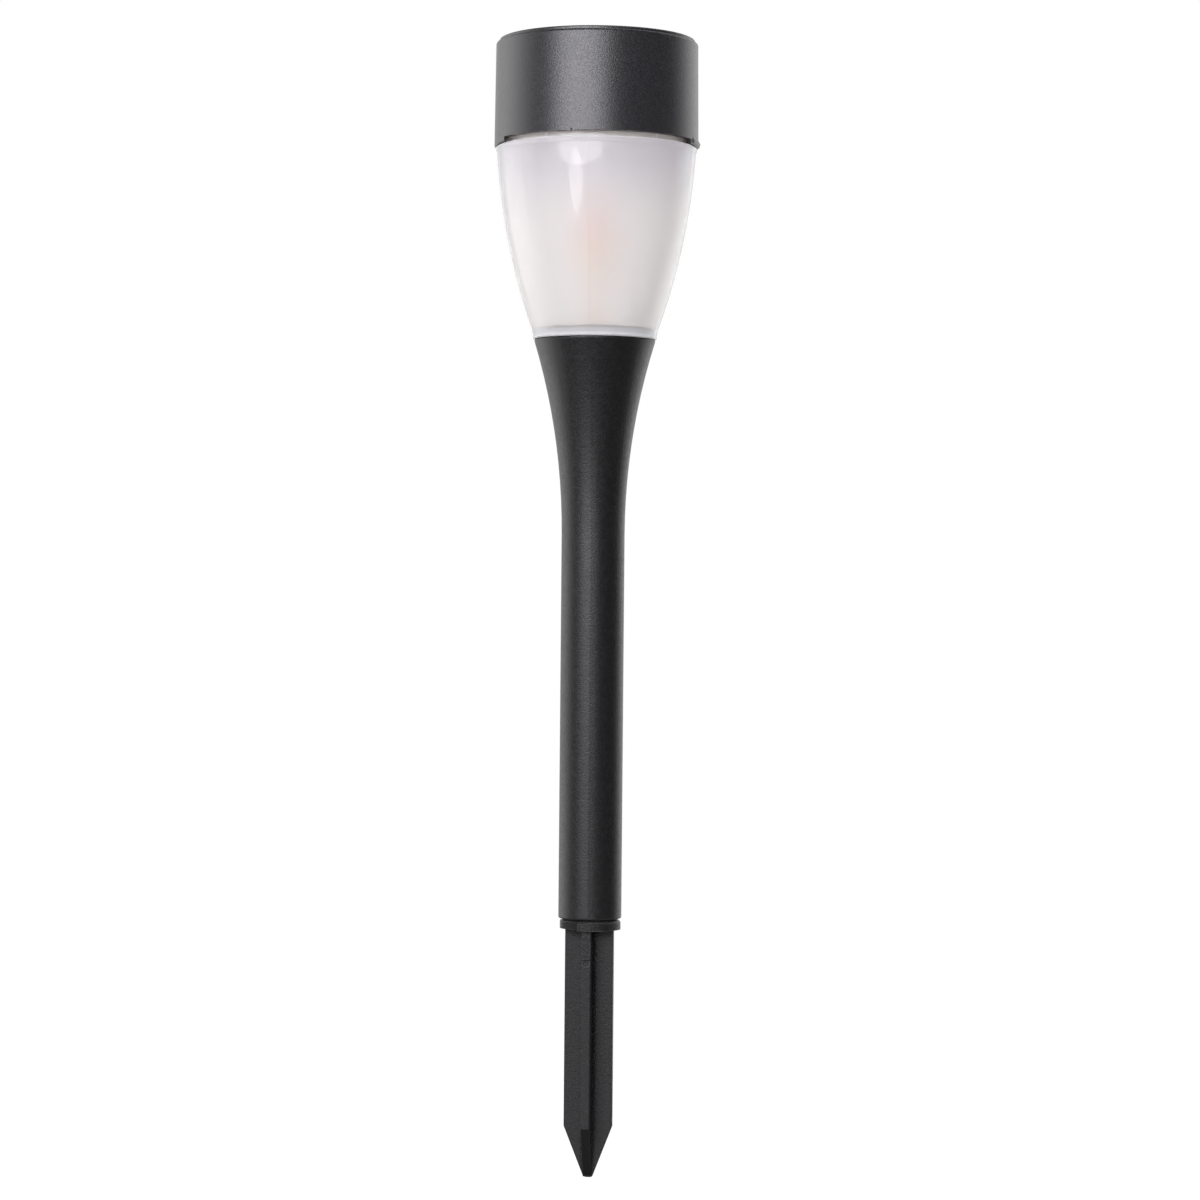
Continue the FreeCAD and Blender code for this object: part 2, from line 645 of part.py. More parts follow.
def panel_bezel():
    """Ring that frames the panel and holds its window down."""
    top = CAP_TOP + BEZEL_PROUD
    window_top = BEZEL_Z + WINDOW_T
    edges = outline(
        in_section(WINDOW_R + GLUE, BEZEL_Z),
        in_section(BEZEL_R, BEZEL_Z),
        in_section(BEZEL_R, top),
        in_section(BEZEL_LIP_R + (top - window_top) * 0.6, top),
        in_section(BEZEL_LIP_R, window_top),
        in_section(WINDOW_R + GLUE, window_top))
    body = lathe(edges)
    save("panel_bezel", rounded_edges(body, BEZEL_EDGE, level_edge(top, BEZEL_R)))


def panel_stack():
    """Clear window, solar cell and the foam pad that sticks the cell to the deck."""
    window = disc(WINDOW_R, BEZEL_Z, BEZEL_Z + WINDOW_T)
    save("panel_window", rounded_edges(window, 0.2, level_edge(BEZEL_Z)))
    half = CELL_SIDE / 2
    save("solar_cell", block(-half, half, -half, half, CELL_Z, CELL_Z + CELL_T))
    half = PAD_SIDE / 2
    pad = block(-half, half, -half, half, DECK_TOP, CELL_Z)
    save("cell_pad", cut(pad, disc(LEAD_HOLE_R, DECK_TOP - 1, CELL_Z + 1, 0, LEAD_HOLE_Y)))


# ---------------------------------------------------------------- lamp housing
def lamp_housing():
    """Shallow cup that closes the cap from below and carries the battery box and posts."""
    inner = HOUSING_R - HOUSING_WALL
    solids = [disc(HOUSING_R, PLATE_Z, PLATE_TOP),
              ring(inner, HOUSING_R, PLATE_Z, FLANGE_Z + FLANGE_T),
              ring(inner, FLANGE_R, FLANGE_Z, FLANGE_Z + FLANGE_T),
              block(-BOX_HALF_X - BOX_WALL, BOX_HALF_X + BOX_WALL,
                    BOX_Y - BOX_HALF_Y - BOX_WALL, BOX_Y + BOX_HALF_Y + BOX_WALL,
                    PLATE_Z, BOX_TOP)]
    cuts = [block(-BOX_HALF_X, BOX_HALF_X, BOX_Y - BOX_HALF_Y, BOX_Y + BOX_HALF_Y,
                  PLATE_Z - 1, BOX_ROOF)]
    x, y = DOOR_SCREW_XY
    solids.append(disc(2.2, PLATE_Z, PLATE_TOP + 5.4, x, y))
    cuts.append(disc(DOOR_SCREW[0] + THREAD_GAP, PLATE_Z - 1, PLATE_TOP + 6.4, x, y))
    for side in (-1, 1):
        x, y = side * BOARD_SCREW_X, BOARD_SCREW_Y
        solids.append(disc(2.0, PLATE_Z, BOARD_Z, x, y))
        cuts.append(disc(BOARD_SCREW[0] + THREAD_GAP, PLATE_TOP + 0.6, BOARD_Z + 1, x, y))
        solids.append(disc(1.5, PLATE_Z, BOARD_Z, side * BOARD_SCREW_X, BOARD_Y1 - 2.0)
                      if side > 0 else disc(1.5, PLATE_Z, BOARD_Z, -4.5, BOARD_Y1 - 1.8))
        slot_x = side * (BOX_HALF_X - (CONTACT_T + GLUE) / 2)
        half = (CONTACT_T + GLUE) / 2
        cuts.append(block(slot_x - half, slot_x + half, BOX_Y - TAIL_WIDTH / 2 - GLUE,
                          BOX_Y + TAIL_WIDTH / 2 + GLUE, BOX_ROOF - 1, BOX_TOP + 1))
    for angle in BOSS_ANGLES:
        x, y = around(angle, BOSS_CIRCLE_R)
        cuts.append(disc(HOUSING_SCREW[0] + 0.2, PLATE_Z - 1, PLATE_TOP + 1, x, y))
    cuts.append(disc(LED_R + GLUE, PLATE_Z - 1, PLATE_TOP + 1))
    cuts.append(switch_slot(PLATE_Z - 1, PLATE_TOP + 1))
    save("lamp_housing", cut(fuse(*solids), *cuts))


def switch_slot(z0, z1):
    half = (KNOB_LENGTH + SWITCH_TRAVEL) / 2 + 0.3
    return block(-half, half, SWITCH_Y - KNOB_WIDTH / 2 - 0.2, SWITCH_Y + KNOB_WIDTH / 2 + 0.2,
                 z0, z1)


def door_outline(z0, z1, grow):
    """The battery door's flange with its screw ear, larger all round by grow."""
    x, y = DOOR_SCREW_XY
    lap = DOOR_LAP + grow
    flange = block(-BOX_HALF_X - lap, BOX_HALF_X + lap, BOX_Y - BOX_HALF_Y - lap,
                   BOX_Y + BOX_HALF_Y + lap, z0, z1)
    ear = disc(EAR_R + grow, z0, z1, x, y)
    bridge = block(x - EAR_R - grow, x + EAR_R + grow, y, BOX_Y - BOX_HALF_Y, z0, z1)
    return fuse(flange, ear, bridge)


def reflector_disc():
    """Bright disc under the housing that throws the lamp's light down."""
    body = disc(REFLECTOR_R, REFLECTOR_Z, PLATE_Z)
    low, high = REFLECTOR_Z - 1, PLATE_Z + 1
    cuts = [disc(LED_R + 0.7, low, high), switch_slot(low, high),
            door_outline(low, high, DOOR_GAP)]
    for angle in BOSS_ANGLES:
        x, y = around(angle, BOSS_CIRCLE_R)
        cuts.append(disc(HOUSING_SCREW[1] + 0.3, low, high, x, y))
    save("reflector_disc", cut(body, *cuts))


def housing_screws():
    group = []
    for angle in BOSS_ANGLES:
        x, y = around(angle, BOSS_CIRCLE_R)
        group.append(screw(HOUSING_SCREW, x, y, PLATE_Z, PLATE_T + HOUSING_SCREW_BITE))
    save("housing_screws", Part.makeCompound(group))


# ---------------------------------------------------------------- battery
def battery_door():
    """Lid under the cell, and the screw that stays in its ear."""
    x, y = DOOR_SCREW_XY
    flange = door_outline(PLATE_Z - DOOR_FLANGE_T, PLATE_Z, 0.0)
    gap = DOOR_GAP
    tongue = block(-BOX_HALF_X + gap, BOX_HALF_X - gap, BOX_Y - BOX_HALF_Y + gap,
                   BOX_Y + BOX_HALF_Y - gap, PLATE_Z, DOOR_TOP)
    hole = disc(DOOR_SCREW[0] + 0.2, PLATE_Z - 3, PLATE_Z + 3, x, y)
    save("battery_door", cut(fuse(flange, tongue), hole))
    save("door_screw", screw(DOOR_SCREW, x, y, PLATE_Z - DOOR_FLANGE_T, 6.0))


def battery():
    """Small rechargeable cell lying across the housing, its nub towards +X."""
    start = -BOX_HALF_X + LEAF_DEPTH + GLUE
    along = V(1, 0, 0)
    can = Part.makeCylinder(BATTERY_R, BATTERY_CAN, V(start, BOX_Y, BATTERY_Z), along)
    can = can.makeFillet(0.5, [e for e in can.Edges if isinstance(e.Curve, Part.Circle)])
    nub = Part.makeCylinder(BATTERY_NUB_R, BATTERY_NUB, V(start + BATTERY_CAN, BOX_Y, BATTERY_Z),
                            along)
    save("battery", fuse(can, nub))


def battery_contacts():
    """Flat contact at the nub's end and a folded leaf at the other, both with solder tails."""
    y0, y1 = BOX_Y - CONTACT_WIDTH / 2, BOX_Y + CONTACT_WIDTH / 2
    low, high = DOOR_TOP + 0.6, BOX_ROOF - 0.4
    tail_y0, tail_y1 = BOX_Y - TAIL_WIDTH / 2, BOX_Y + TAIL_WIDTH / 2
    tail_top = BOX_TOP + TAIL_ABOVE
    wall = BOX_HALF_X
    flat = fuse(block(wall - CONTACT_T, wall, y0, y1, low, high),
                block(wall - CONTACT_T, wall, tail_y0, tail_y1, low, tail_top))
    save("flat_contact", flat)
    back = fuse(block(-wall, -wall + CONTACT_T, y0, y1, low, high),
                block(-wall, -wall + CONTACT_T, tail_y0, tail_y1, low, tail_top))
    fold, nose = -wall + CONTACT_T / 2, -wall + LEAF_DEPTH
    slant = CONTACT_T * 1.3
    leaf = plate_from([V(fold, y0, low), V(nose, y0, BATTERY_Z), V(fold + 1.2, y0, high - 0.8),
                       V(fold + 1.2 - slant, y0, high - 0.8), V(nose - slant, y0, BATTERY_Z),
                       V(fold, y0, low + slant)], V(0, 1, 0), CONTACT_WIDTH)
    save("leaf_contact", fuse(back, leaf))
    return tail_top


# ---------------------------------------------------------------- electronics
def circuit_board():
    board = block(-BOARD_X, BOARD_X, BOARD_Y0, BOARD_Y1, BOARD_Z, BOARD_TOP)
    cuts = [disc(LED_PIN_R + 0.1, BOARD_Z - 1, BOARD_TOP + 1, side * LED_PIN_PITCH / 2, 0)
            for side in (-1, 1)]
    screws = []
    for side in (-1, 1):
        x, y = side * BOARD_SCREW_X, BOARD_SCREW_Y
        cuts.append(disc(BOARD_SCREW[0] + 0.15, BOARD_Z - 1, BOARD_TOP + 1, x, y))
        one = screw(BOARD_SCREW, x, y, 0, 5.0)
        one.rotate(V(x, y, 0), V(1, 0, 0), FULL_TURN / 2)
        one.translate(V(0, 0, BOARD_TOP))
        screws.append(one)
    save("circuit_board", cut(board, *cuts))
    save("board_screws", Part.makeCompound(screws))


def led():
    """Round lamp that points down through the plate, its pins up through the board."""
    tip = PLATE_TOP - LED_LENGTH + LED_R
    lens = fuse(disc(LED_R, tip, PLATE_TOP), Part.makeSphere(LED_R, V(0, 0, tip)),
                disc(LED_FLANGE_R, PLATE_TOP, PLATE_TOP + LED_FLANGE_T))
    pins = [disc(LED_PIN_R, PLATE_TOP + LED_FLANGE_T / 2, BOARD_TOP + 0.8, side * LED_PIN_PITCH / 2, 0)
            for side in (-1, 1)]
    save("led", fuse(lens, *pins))


def driver_chip():
    """Four-legged charge controller lying on the board."""
    x, y, long, wide, high = -6.5, -5.5, 5.2, 3.7, 1.6
    parts = [block(x - long / 2, x + long / 2, y - wide / 2, y + wide / 2, BOARD_TOP + 0.1,
                   BOARD_TOP + high)]
    for index in range(4):
        leg = x - long / 2 + long * (index + 0.5) / 4
        parts.append(block(leg - 0.2, leg + 0.2, y - wide / 2 - 1.8, y - wide / 2 + 0.4,
                           BOARD_TOP, BOARD_TOP + 0.35))
    save("driver_chip", fuse(*parts))


def choke_coil():
    """Axial choke lying on the board, with its two wires bent down to the board."""
    x, y, radius, length = 5.0, -7.5, 1.5, 6.6
    z = BOARD_TOP + radius
    bead = Part.makeCylinder(radius, length, V(x - length / 2, y, z), V(1, 0, 0))
    bead = bead.makeFillet(0.6, [e for e in bead.Edges if isinstance(e.Curve, Part.Circle)])
    wires = [wire_lead([V(x + side * (length / 2 - 0.4), y, z), V(x + side * (length / 2 + 1.2), y, z),
                        V(x + side * (length / 2 + 1.2), y, BOARD_TOP)], 0.3) for side in (-1, 1)]
    save("choke_coil", fuse(bead, *wires))


def switch():
    """Slide switch under the board: its body, and the knob that reaches through the plate."""
    half_x, half_y = SWITCH_LENGTH / 2, SWITCH_WIDTH / 2
    base = BOARD_Z - SWITCH_HEIGHT
    body = block(-half_x, half_x, SWITCH_Y - half_y, SWITCH_Y + half_y, base, BOARD_Z)
    room = (KNOB_FOOT + SWITCH_TRAVEL) / 2 + RUNNING
    foot_half_y = KNOB_WIDTH / 2 + 0.4
    cavity = block(-room, room, SWITCH_Y - foot_half_y - RUNNING, SWITCH_Y + foot_half_y + RUNNING,
                   base + 0.5, base + 0.5 + KNOB_FOOT_T + 2 * RUNNING)
    save("switch_body", cut(body, cavity, switch_slot(base - 1, base + 1)))
    off = -SWITCH_TRAVEL / 2
    foot = block(off - KNOB_FOOT / 2, off + KNOB_FOOT / 2, SWITCH_Y - foot_half_y,
                 SWITCH_Y + foot_half_y, base + 0.5 + RUNNING, base + 0.5 + RUNNING + KNOB_FOOT_T)
    knob = block(off - KNOB_LENGTH / 2, off + KNOB_LENGTH / 2, SWITCH_Y - KNOB_WIDTH / 2,
                 SWITCH_Y + KNOB_WIDTH / 2, REFLECTOR_Z - KNOB_PROUD, base + 0.5 + RUNNING + 0.1)
    save("switch_knob", fuse(foot, knob))


def leads(tail_top):
    """Insulated leads: two from the solar cell, two from the battery's contacts."""
    for name, side in (("solar_lead_red", 1), ("solar_lead_black", -1)):
        x = side * 0.9
        route = [V(x, LEAD_HOLE_Y, CELL_Z), V(x, LEAD_HOLE_Y, CELL_Z - 7.5),
                 V(x + side * 6.0, LEAD_HOLE_Y - 5.0, BOARD_TOP + 6.0),
                 V(x + side * 11.0, LEAD_HOLE_Y - 4.5, BOARD_TOP + 4.5),
                 V(x + side * 11.0, LEAD_HOLE_Y - 4.5, BOARD_TOP)]
        save(name, wire_lead(route, LEAD_R))
    for name, side in (("battery_lead_red", 1), ("battery_lead_black", -1)):
        x = side * (BOX_HALF_X - CONTACT_T / 2)
        route = [V(x, BOX_Y, tail_top), V(x, BOX_Y, tail_top + 3.2),
                 V(x - side * 2.0, BOX_Y - 7.0, tail_top + 3.6),
                 V(x - side * 5.6, BOX_Y - 11.0, tail_top + 0.8),
                 V(x - side * 5.6, BOX_Y - 11.0, BOARD_TOP)]
        save(name, wire_lead(route, LEAD_R))


def build():
    os.makedirs("parts", exist_ok=True)
    ground_stake()
    pole()
    frosted_bowl()
    flame_insert()
    neck_ring()
    neck_seal()
    solar_cap()
    panel_bezel()
    panel_stack()
    lamp_housing()
    reflector_disc()
    housing_screws()
    battery_door()
    battery()
    tail_top = battery_contacts()
    circuit_board()
    led()
    driver_chip()
    choke_coil()
    switch()
    leads(tail_top)


build()
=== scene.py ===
# %% [markdown]
# # Solar garden torch
# The maker's model of the torch is finished: every moulding, screw and wire is already there in metres,
# and sits on the body that carries it. This lesson loads that model as a fixed frame and gives it its
# looks. The frame's pieces are never moved, so everything new takes its place from their boxes.

# %% Load the frame
import math

import bmesh
import bpy
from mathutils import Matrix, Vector


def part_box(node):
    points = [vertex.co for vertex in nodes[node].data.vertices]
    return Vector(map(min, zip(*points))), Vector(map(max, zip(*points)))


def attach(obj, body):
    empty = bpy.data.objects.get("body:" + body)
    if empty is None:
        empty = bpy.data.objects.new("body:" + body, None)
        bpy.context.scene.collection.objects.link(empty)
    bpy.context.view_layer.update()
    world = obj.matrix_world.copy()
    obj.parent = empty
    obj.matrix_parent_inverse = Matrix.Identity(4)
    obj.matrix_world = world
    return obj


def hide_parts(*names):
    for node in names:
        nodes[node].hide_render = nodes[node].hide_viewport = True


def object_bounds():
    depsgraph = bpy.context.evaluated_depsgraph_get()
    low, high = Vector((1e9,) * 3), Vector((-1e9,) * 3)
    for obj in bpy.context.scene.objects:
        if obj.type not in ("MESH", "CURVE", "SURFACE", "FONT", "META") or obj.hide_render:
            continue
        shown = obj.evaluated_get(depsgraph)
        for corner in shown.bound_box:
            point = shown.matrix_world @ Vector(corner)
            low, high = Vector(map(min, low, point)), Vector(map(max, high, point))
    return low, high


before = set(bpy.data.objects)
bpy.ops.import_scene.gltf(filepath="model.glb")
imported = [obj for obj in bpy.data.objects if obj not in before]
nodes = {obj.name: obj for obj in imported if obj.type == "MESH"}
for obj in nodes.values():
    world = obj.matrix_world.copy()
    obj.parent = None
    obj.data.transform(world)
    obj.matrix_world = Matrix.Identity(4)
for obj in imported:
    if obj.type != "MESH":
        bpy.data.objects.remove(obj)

frame_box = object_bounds()
low_corner, high_corner = frame_box

# %% [markdown]
# ## Small helpers for modelling
# Blender's operators act on whatever is selected, and loading the frame leaves all of it selected. So each
# new piece starts with nothing selected. Most of them grow out of one flat face, a disc or a plate, which is
# raised again and again and made wider or narrower on the way. One millimetre is written out once, because
# the drawing sizes are easier to read in it.

# %% Helpers for selecting and finishing
MM = 0.001


def select_nothing():
    bpy.ops.object.select_all(action="DESELECT")


def select_only(piece):
    select_nothing()
    piece.select_set(True)
    bpy.context.view_layer.objects.active = piece


def open_edit(piece):
    """Opens one piece in edit mode with all its faces selected."""
    select_only(piece)
    bpy.ops.object.mode_set(mode="EDIT")
    bpy.ops.mesh.select_mode(type="FACE")
    bpy.ops.mesh.select_all(action="SELECT")


def close_edit():
    """Points all faces outwards and goes back to object mode."""
    bpy.ops.mesh.select_all(action="SELECT")
    bpy.ops.mesh.normals_make_consistent(inside=False)
    bpy.ops.object.mode_set(mode="OBJECT")


def settle(piece, name):
    """Names a piece and moves its place, turn and scale into its mesh."""
    select_only(piece)
    bpy.ops.object.transform_apply(location=True, rotation=True, scale=True)
    piece.name = name
    piece.data.name = name
    return piece


def apply_modifiers(piece):
    select_only(piece)
    for modifier in list(piece.modifiers):
        bpy.ops.object.modifier_apply(modifier=modifier.name)


def copy_at(piece, shift):
    """A copy with a mesh of its own, moved by shift."""
    twin = piece.copy()
    twin.data = piece.data.copy()
    twin.location = shift
    bpy.context.scene.collection.objects.link(twin)
    return twin


def join(pieces, name):
    select_nothing()
    for piece in pieces:
        piece.select_set(True)
    bpy.context.view_layer.objects.active = pieces[0]
    bpy.ops.object.join()
    return settle(bpy.context.object, name)


print("helpers ready, one millimetre is", MM)

# %% Helpers for raising a face


def start_disc(name, radius, points, place):
    """Adds a flat disc and leaves its one face selected in edit mode."""
    select_nothing()
    bpy.ops.mesh.primitive_circle_add(vertices=points, radius=radius, fill_type="NGON", location=place)
    disc = settle(bpy.context.object, name)
    open_edit(disc)
    return disc


def start_plate(name, width_x, width_y, place):
    """Adds a flat rectangle and leaves its one face selected in edit mode."""
    select_nothing()
    bpy.ops.mesh.primitive_plane_add(size=1, location=place)
    plate = bpy.context.object
    plate.scale = (width_x, width_y, 1)
    settle(plate, name)
    open_edit(plate)
    return plate


def extrude_up(rise):
    bpy.ops.mesh.extrude_region_move(TRANSFORM_OT_translate={"value": (0, 0, rise)})


def raise_face(level, size, x=0.0, y=0.0, turn=0.0):
    """Takes the selected face to a level, then scales and turns it about the upright line at x and y."""
    shape = bmesh.from_edit_mesh(bpy.context.edit_object.data)
    extrude_up(level - max(v.co.z for v in shape.verts if v.select))
    centre = (x, y, level)
    bpy.ops.transform.resize(value=(size, size, 1), center_override=centre)
    if turn:
        bpy.ops.transform.rotate(value=turn, orient_axis="Z", center_override=centre)


print("a face can be raised from a disc or a plate")

# %% [markdown]
# ## Small helpers for materials
# Every finish here is one Principled shader with a few pattern nodes in front of it. Adding a node, setting
# its sockets and linking it takes three lines each time, so a short helper does it. A value that is the
# same all over the surface is set on the shader's own socket.

# %% Helpers for nodes


def node(tree, kind, links=None, **settings):
    """Adds a node. Settings are its properties, links gives a value or a socket for each input."""
    made = tree.nodes.new("ShaderNode" + kind)
    for name, value in settings.items():
        setattr(made, name, value)
    for key, value in (links or {}).items():
        if isinstance(value, bpy.types.NodeSocket):
            tree.links.new(value, made.inputs[key])
        else:
            made.inputs[key].default_value = value
    return made


def maths(tree, operation, first, second=0.0, clamp=False):
    made = node(tree, "Math", {0: first, 1: second}, operation=operation, use_clamp=clamp)
    return made.outputs[0]


def blend_colours(tree, share, first, second):
    made = node(tree, "Mix", {0: share, 6: first, 7: second}, data_type="RGBA")
    return made.outputs[2]


def blend_values(tree, share, first, second):
    return node(tree, "Mix", {0: share, 2: first, 3: second}).outputs[0]


def ramp_value(tree, value, low, high, to_low=0.0, to_high=1.0):
    """Maps low..high to to_low..to_high, with a soft start and end."""
    made = node(tree, "MapRange", {"Value": value, "From Min": low, "From Max": high,
                                   "To Min": to_low, "To Max": to_high},
                interpolation_type="SMOOTHSTEP")
    return made.outputs["Result"]


def piece_place(tree):
    """Each point's place on its piece, in metres."""
    return node(tree, "TexCoord").outputs["Object"]


def coordinate(tree, vector, axis):
    return node(tree, "SeparateXYZ", {0: vector}).outputs[axis]


def axis_distance(tree, place):
    """How far each point lies from the torch's upright axis."""
    flat = node(tree, "VectorMath", {0: place, 1: (1, 1, 0)}, operation="MULTIPLY").outputs[0]
    return node(tree, "VectorMath", {0: flat}, operation="LENGTH").outputs["Value"]


def noise(tree, place, per_m, detail, roughness=0.5):
    made = node(tree, "TexNoise", {"Vector": place, "Scale": per_m, "Detail": detail,
                                   "Roughness": roughness})
    return made.outputs[0]


# %% Helpers for groups and materials


def new_group(name, inputs, outputs):
    """A shader node group whose named sockets are all plain numbers, and its two end nodes."""
    tree = bpy.data.node_groups.new(name, "ShaderNodeTree")
    for label, value in inputs.items():
        socket = tree.interface.new_socket(label, in_out="INPUT", socket_type="NodeSocketFloat")
        socket.default_value = value
    for label in outputs:
        tree.interface.new_socket(label, in_out="OUTPUT", socket_type="NodeSocketFloat")
    return tree, tree.nodes.new("NodeGroupInput"), tree.nodes.new("NodeGroupOutput")


def place_group(tree, group, **values):
    """Places a node group in a material. An underscore in a name stands for a space."""
    made = tree.nodes.new("ShaderNodeGroup")
    made.node_tree = group
    for name, value in values.items():
        made.inputs[name.replace("_", " ")].default_value = value
    return made


def new_material(name, **sockets):
    """A material with one Principled shader, whose sockets are set by name."""
    made = bpy.data.materials.new(name)
    made.use_nodes = True
    shader = made.node_tree.nodes["Principled BSDF"]
    for label, value in sockets.items():
        shader.inputs[label.replace("_", " ")].default_value = value
    return made, made.node_tree, shader


def add_bump(tree, shader, surface, depth, strength=1.0):
    """Bends the shader's normal by a height called surface, which is depth deep."""
    bump = node(tree, "Bump", {"Strength": strength, "Distance": depth, "Height": surface})
    tree.links.new(bump.outputs[0], shader.inputs["Normal"])


def finish_on(material, *names):
    """Gives CAD nodes their material."""
    for name in names:
        for slot in nodes[name].material_slots:
            slot.material = material
    print(material.name, "on", ", ".join(names))


# %% [markdown]
# ## Moulded grain
# The tool that moulds the black shells is etched by sparks, which leaves a fine pebbled skin about half a
# millimetre across. It could be displaced geometry, but at that size it only matters to the light, so it is
# a height for a Bump node. Two noises of different size keep it from looking like a single pattern.

# %% Node group: moulded grain
COARSER = 0.31  # the coarse noise's scale, as a share of the fine one's
grain_group, grain_in, grain_out = new_group(
    "moulded_grain", {"Grain per m": 2400.0, "Coarse share": 0.35}, ["Height", "Speckle"])
place = piece_place(grain_group)
fine_scale = grain_in.outputs["Grain per m"]
fine = noise(grain_group, place, fine_scale, 2.0, 0.6)
coarse = noise(grain_group, place, maths(grain_group, "MULTIPLY", fine_scale, COARSER), 1.0)
both = blend_values(grain_group, grain_in.outputs["Coarse share"], fine, coarse)
grain_group.links.new(both, grain_out.inputs["Height"])
grain_group.links.new(ramp_value(grain_group, both, 0.42, 0.62), grain_out.inputs["Speckle"])
print("group", grain_group.name, "nodes", len(grain_group.nodes))

# %% [markdown]
# ## Edge wear and painted edge highlight
# Handling rubs a moulding's edges a little smoother and paler than its faces. On the black shells the paler
# edge colour is also a painted highlight, standing in for the light their edges catch. The Bevel node looks a
# short way round each point, so where its normal leaves the surface's own there is an edge. A noise breaks
# the mask up, because wear along an edge is never even.

# %% Node group: edge wear and painted edge highlight
EDGE_STARTS, EDGE_FULL = 0.02, 0.16
EDGE_PATCHES_PER_M, LEAST_EDGE_SHARE = 260.0, 0.25
edge_group, edge_in, edge_out = new_group(
    "edge_wear_and_highlight", {"Width": 0.4 * MM, "Amount": 0.5}, ["Mask"])
flat_normal = node(edge_group, "NewGeometry").outputs["Normal"]
round_normal = node(edge_group, "Bevel", {"Radius": edge_in.outputs["Width"]}, samples=4).outputs[0]
agree = node(edge_group, "VectorMath", {0: flat_normal, 1: round_normal}, operation="DOT_PRODUCT")
bend = maths(edge_group, "SUBTRACT", 1.0, agree.outputs["Value"])
edge = ramp_value(edge_group, bend, EDGE_STARTS, EDGE_FULL)
patches = noise(edge_group, piece_place(edge_group), EDGE_PATCHES_PER_M, 3.0)
patchy = ramp_value(edge_group, patches, 0.35, 0.65, LEAST_EDGE_SHARE, 1.0)
edge_amount = maths(edge_group, "MULTIPLY", edge, patchy)
edge_amount = maths(edge_group, "MULTIPLY", edge_amount, edge_in.outputs["Amount"], clamp=True)
edge_group.links.new(edge_amount, edge_out.inputs["Mask"])
print("group", edge_group.name, "nodes", len(edge_group.nodes))

# %% [markdown]
# ## Dust
# Dust settles on what faces up and stays in soft patches. The mask is the upward share of the surface's
# normal, times a large noise. A new torch has very little of it, so each material asks for its own amount.

# %% Node group: dust
LEAST_UPWARD, MOST_UPWARD = 0.2, 0.95
dust_group, dust_in, dust_out = new_group(
    "settled_dust", {"Amount": 0.2, "Patches per m": 90.0}, ["Mask"])
upward = coordinate(dust_group, node(dust_group, "NewGeometry").outputs["Normal"], "Z")
settled = ramp_value(dust_group, upward, LEAST_UPWARD, MOST_UPWARD)
patches = noise(dust_group, piece_place(dust_group), dust_in.outputs["Patches per m"], 6.0, 0.65)
cover = maths(dust_group, "MULTIPLY", settled, ramp_value(dust_group, patches, 0.35, 0.75))
cover = maths(dust_group, "MULTIPLY", cover, dust_in.outputs["Amount"], clamp=True)
dust_group.links.new(cover, dust_out.inputs["Mask"])
print("group", dust_group.name, "nodes", len(dust_group.nodes))

# %% [markdown]
# ## Black shells
# The cap is black ABS and the pole and stake are black polypropylene, which comes out of its mould a shade
# darker and duller. All carry the grain, so one function builds them with their own values: the colour
# moves a little with the speckle, edges are paler and glossier, partly from wear and partly as a painted
# highlight where they catch the light, most of all on the stake, and dust lies on top. The skin of the
# other mouldings is layered in the same way, so that part is a function of its own.

# %% Grained skin
DUST_COLOUR = (0.30, 0.28, 0.25, 1)


def grained_skin(tree, shader, colour, speckled, edge_colour, grain, edges, dust, bump_depth):
    """Colour and bump of a moulding, each layer with the inputs of its node group.

    Hands back the speckle and the mask of the paler edges, for the roughness."""
    grain = place_group(tree, grain_group, **grain)
    edges = place_group(tree, edge_group, **edges)
    dust = place_group(tree, dust_group, **dust)
    base = blend_colours(tree, grain.outputs["Speckle"], colour, speckled)
    # Paler edges: wear, and on the black shells also a painted highlight where edges catch the light.
    base = blend_colours(tree, edges.outputs["Mask"], base, edge_colour)
    base = blend_colours(tree, dust.outputs["Mask"], base, DUST_COLOUR)
    tree.links.new(base, shader.inputs["Base Color"])
    add_bump(tree, shader, grain.outputs["Height"], bump_depth)
    return grain.outputs["Speckle"], edges.outputs["Mask"]


print("dust colour", DUST_COLOUR[:3])

# %% Black moulded plastics
BLACK_EDGE, EDGE_POLISH, BLACK_DUST_PATCHES = 0.35 * MM, -0.12, 70.0


def moulded_black(name, colour, edge_colour, roughness, bump_depth, grain_per_m, dust, gloss, coarse=0.3,
                  lift=1.35, edge_amount=0.45):
    """Black plastic. Lift is how much lighter the grain's high spots are; the last argument, how much of an
    edge is paler.
    """
    made, tree, shader = new_material(name, Specular_IOR_Level=gloss)
    lighter = tuple(c * lift for c in colour[:3]) + (1,)
    speckle, edges = grained_skin(
        tree, shader, colour, lighter, edge_colour,
        grain={"Grain_per_m": grain_per_m, "Coarse_share": coarse},
        edges={"Width": BLACK_EDGE, "Amount": edge_amount},
        dust={"Amount": dust, "Patches_per_m": BLACK_DUST_PATCHES}, bump_depth=bump_depth)
    rough = ramp_value(tree, speckle, 0.0, 1.0, roughness - 0.03, roughness + 0.05)
    rough = maths(tree, "ADD", rough, maths(tree, "MULTIPLY", edges, EDGE_POLISH))
    tree.links.new(rough, shader.inputs["Roughness"])
    return made


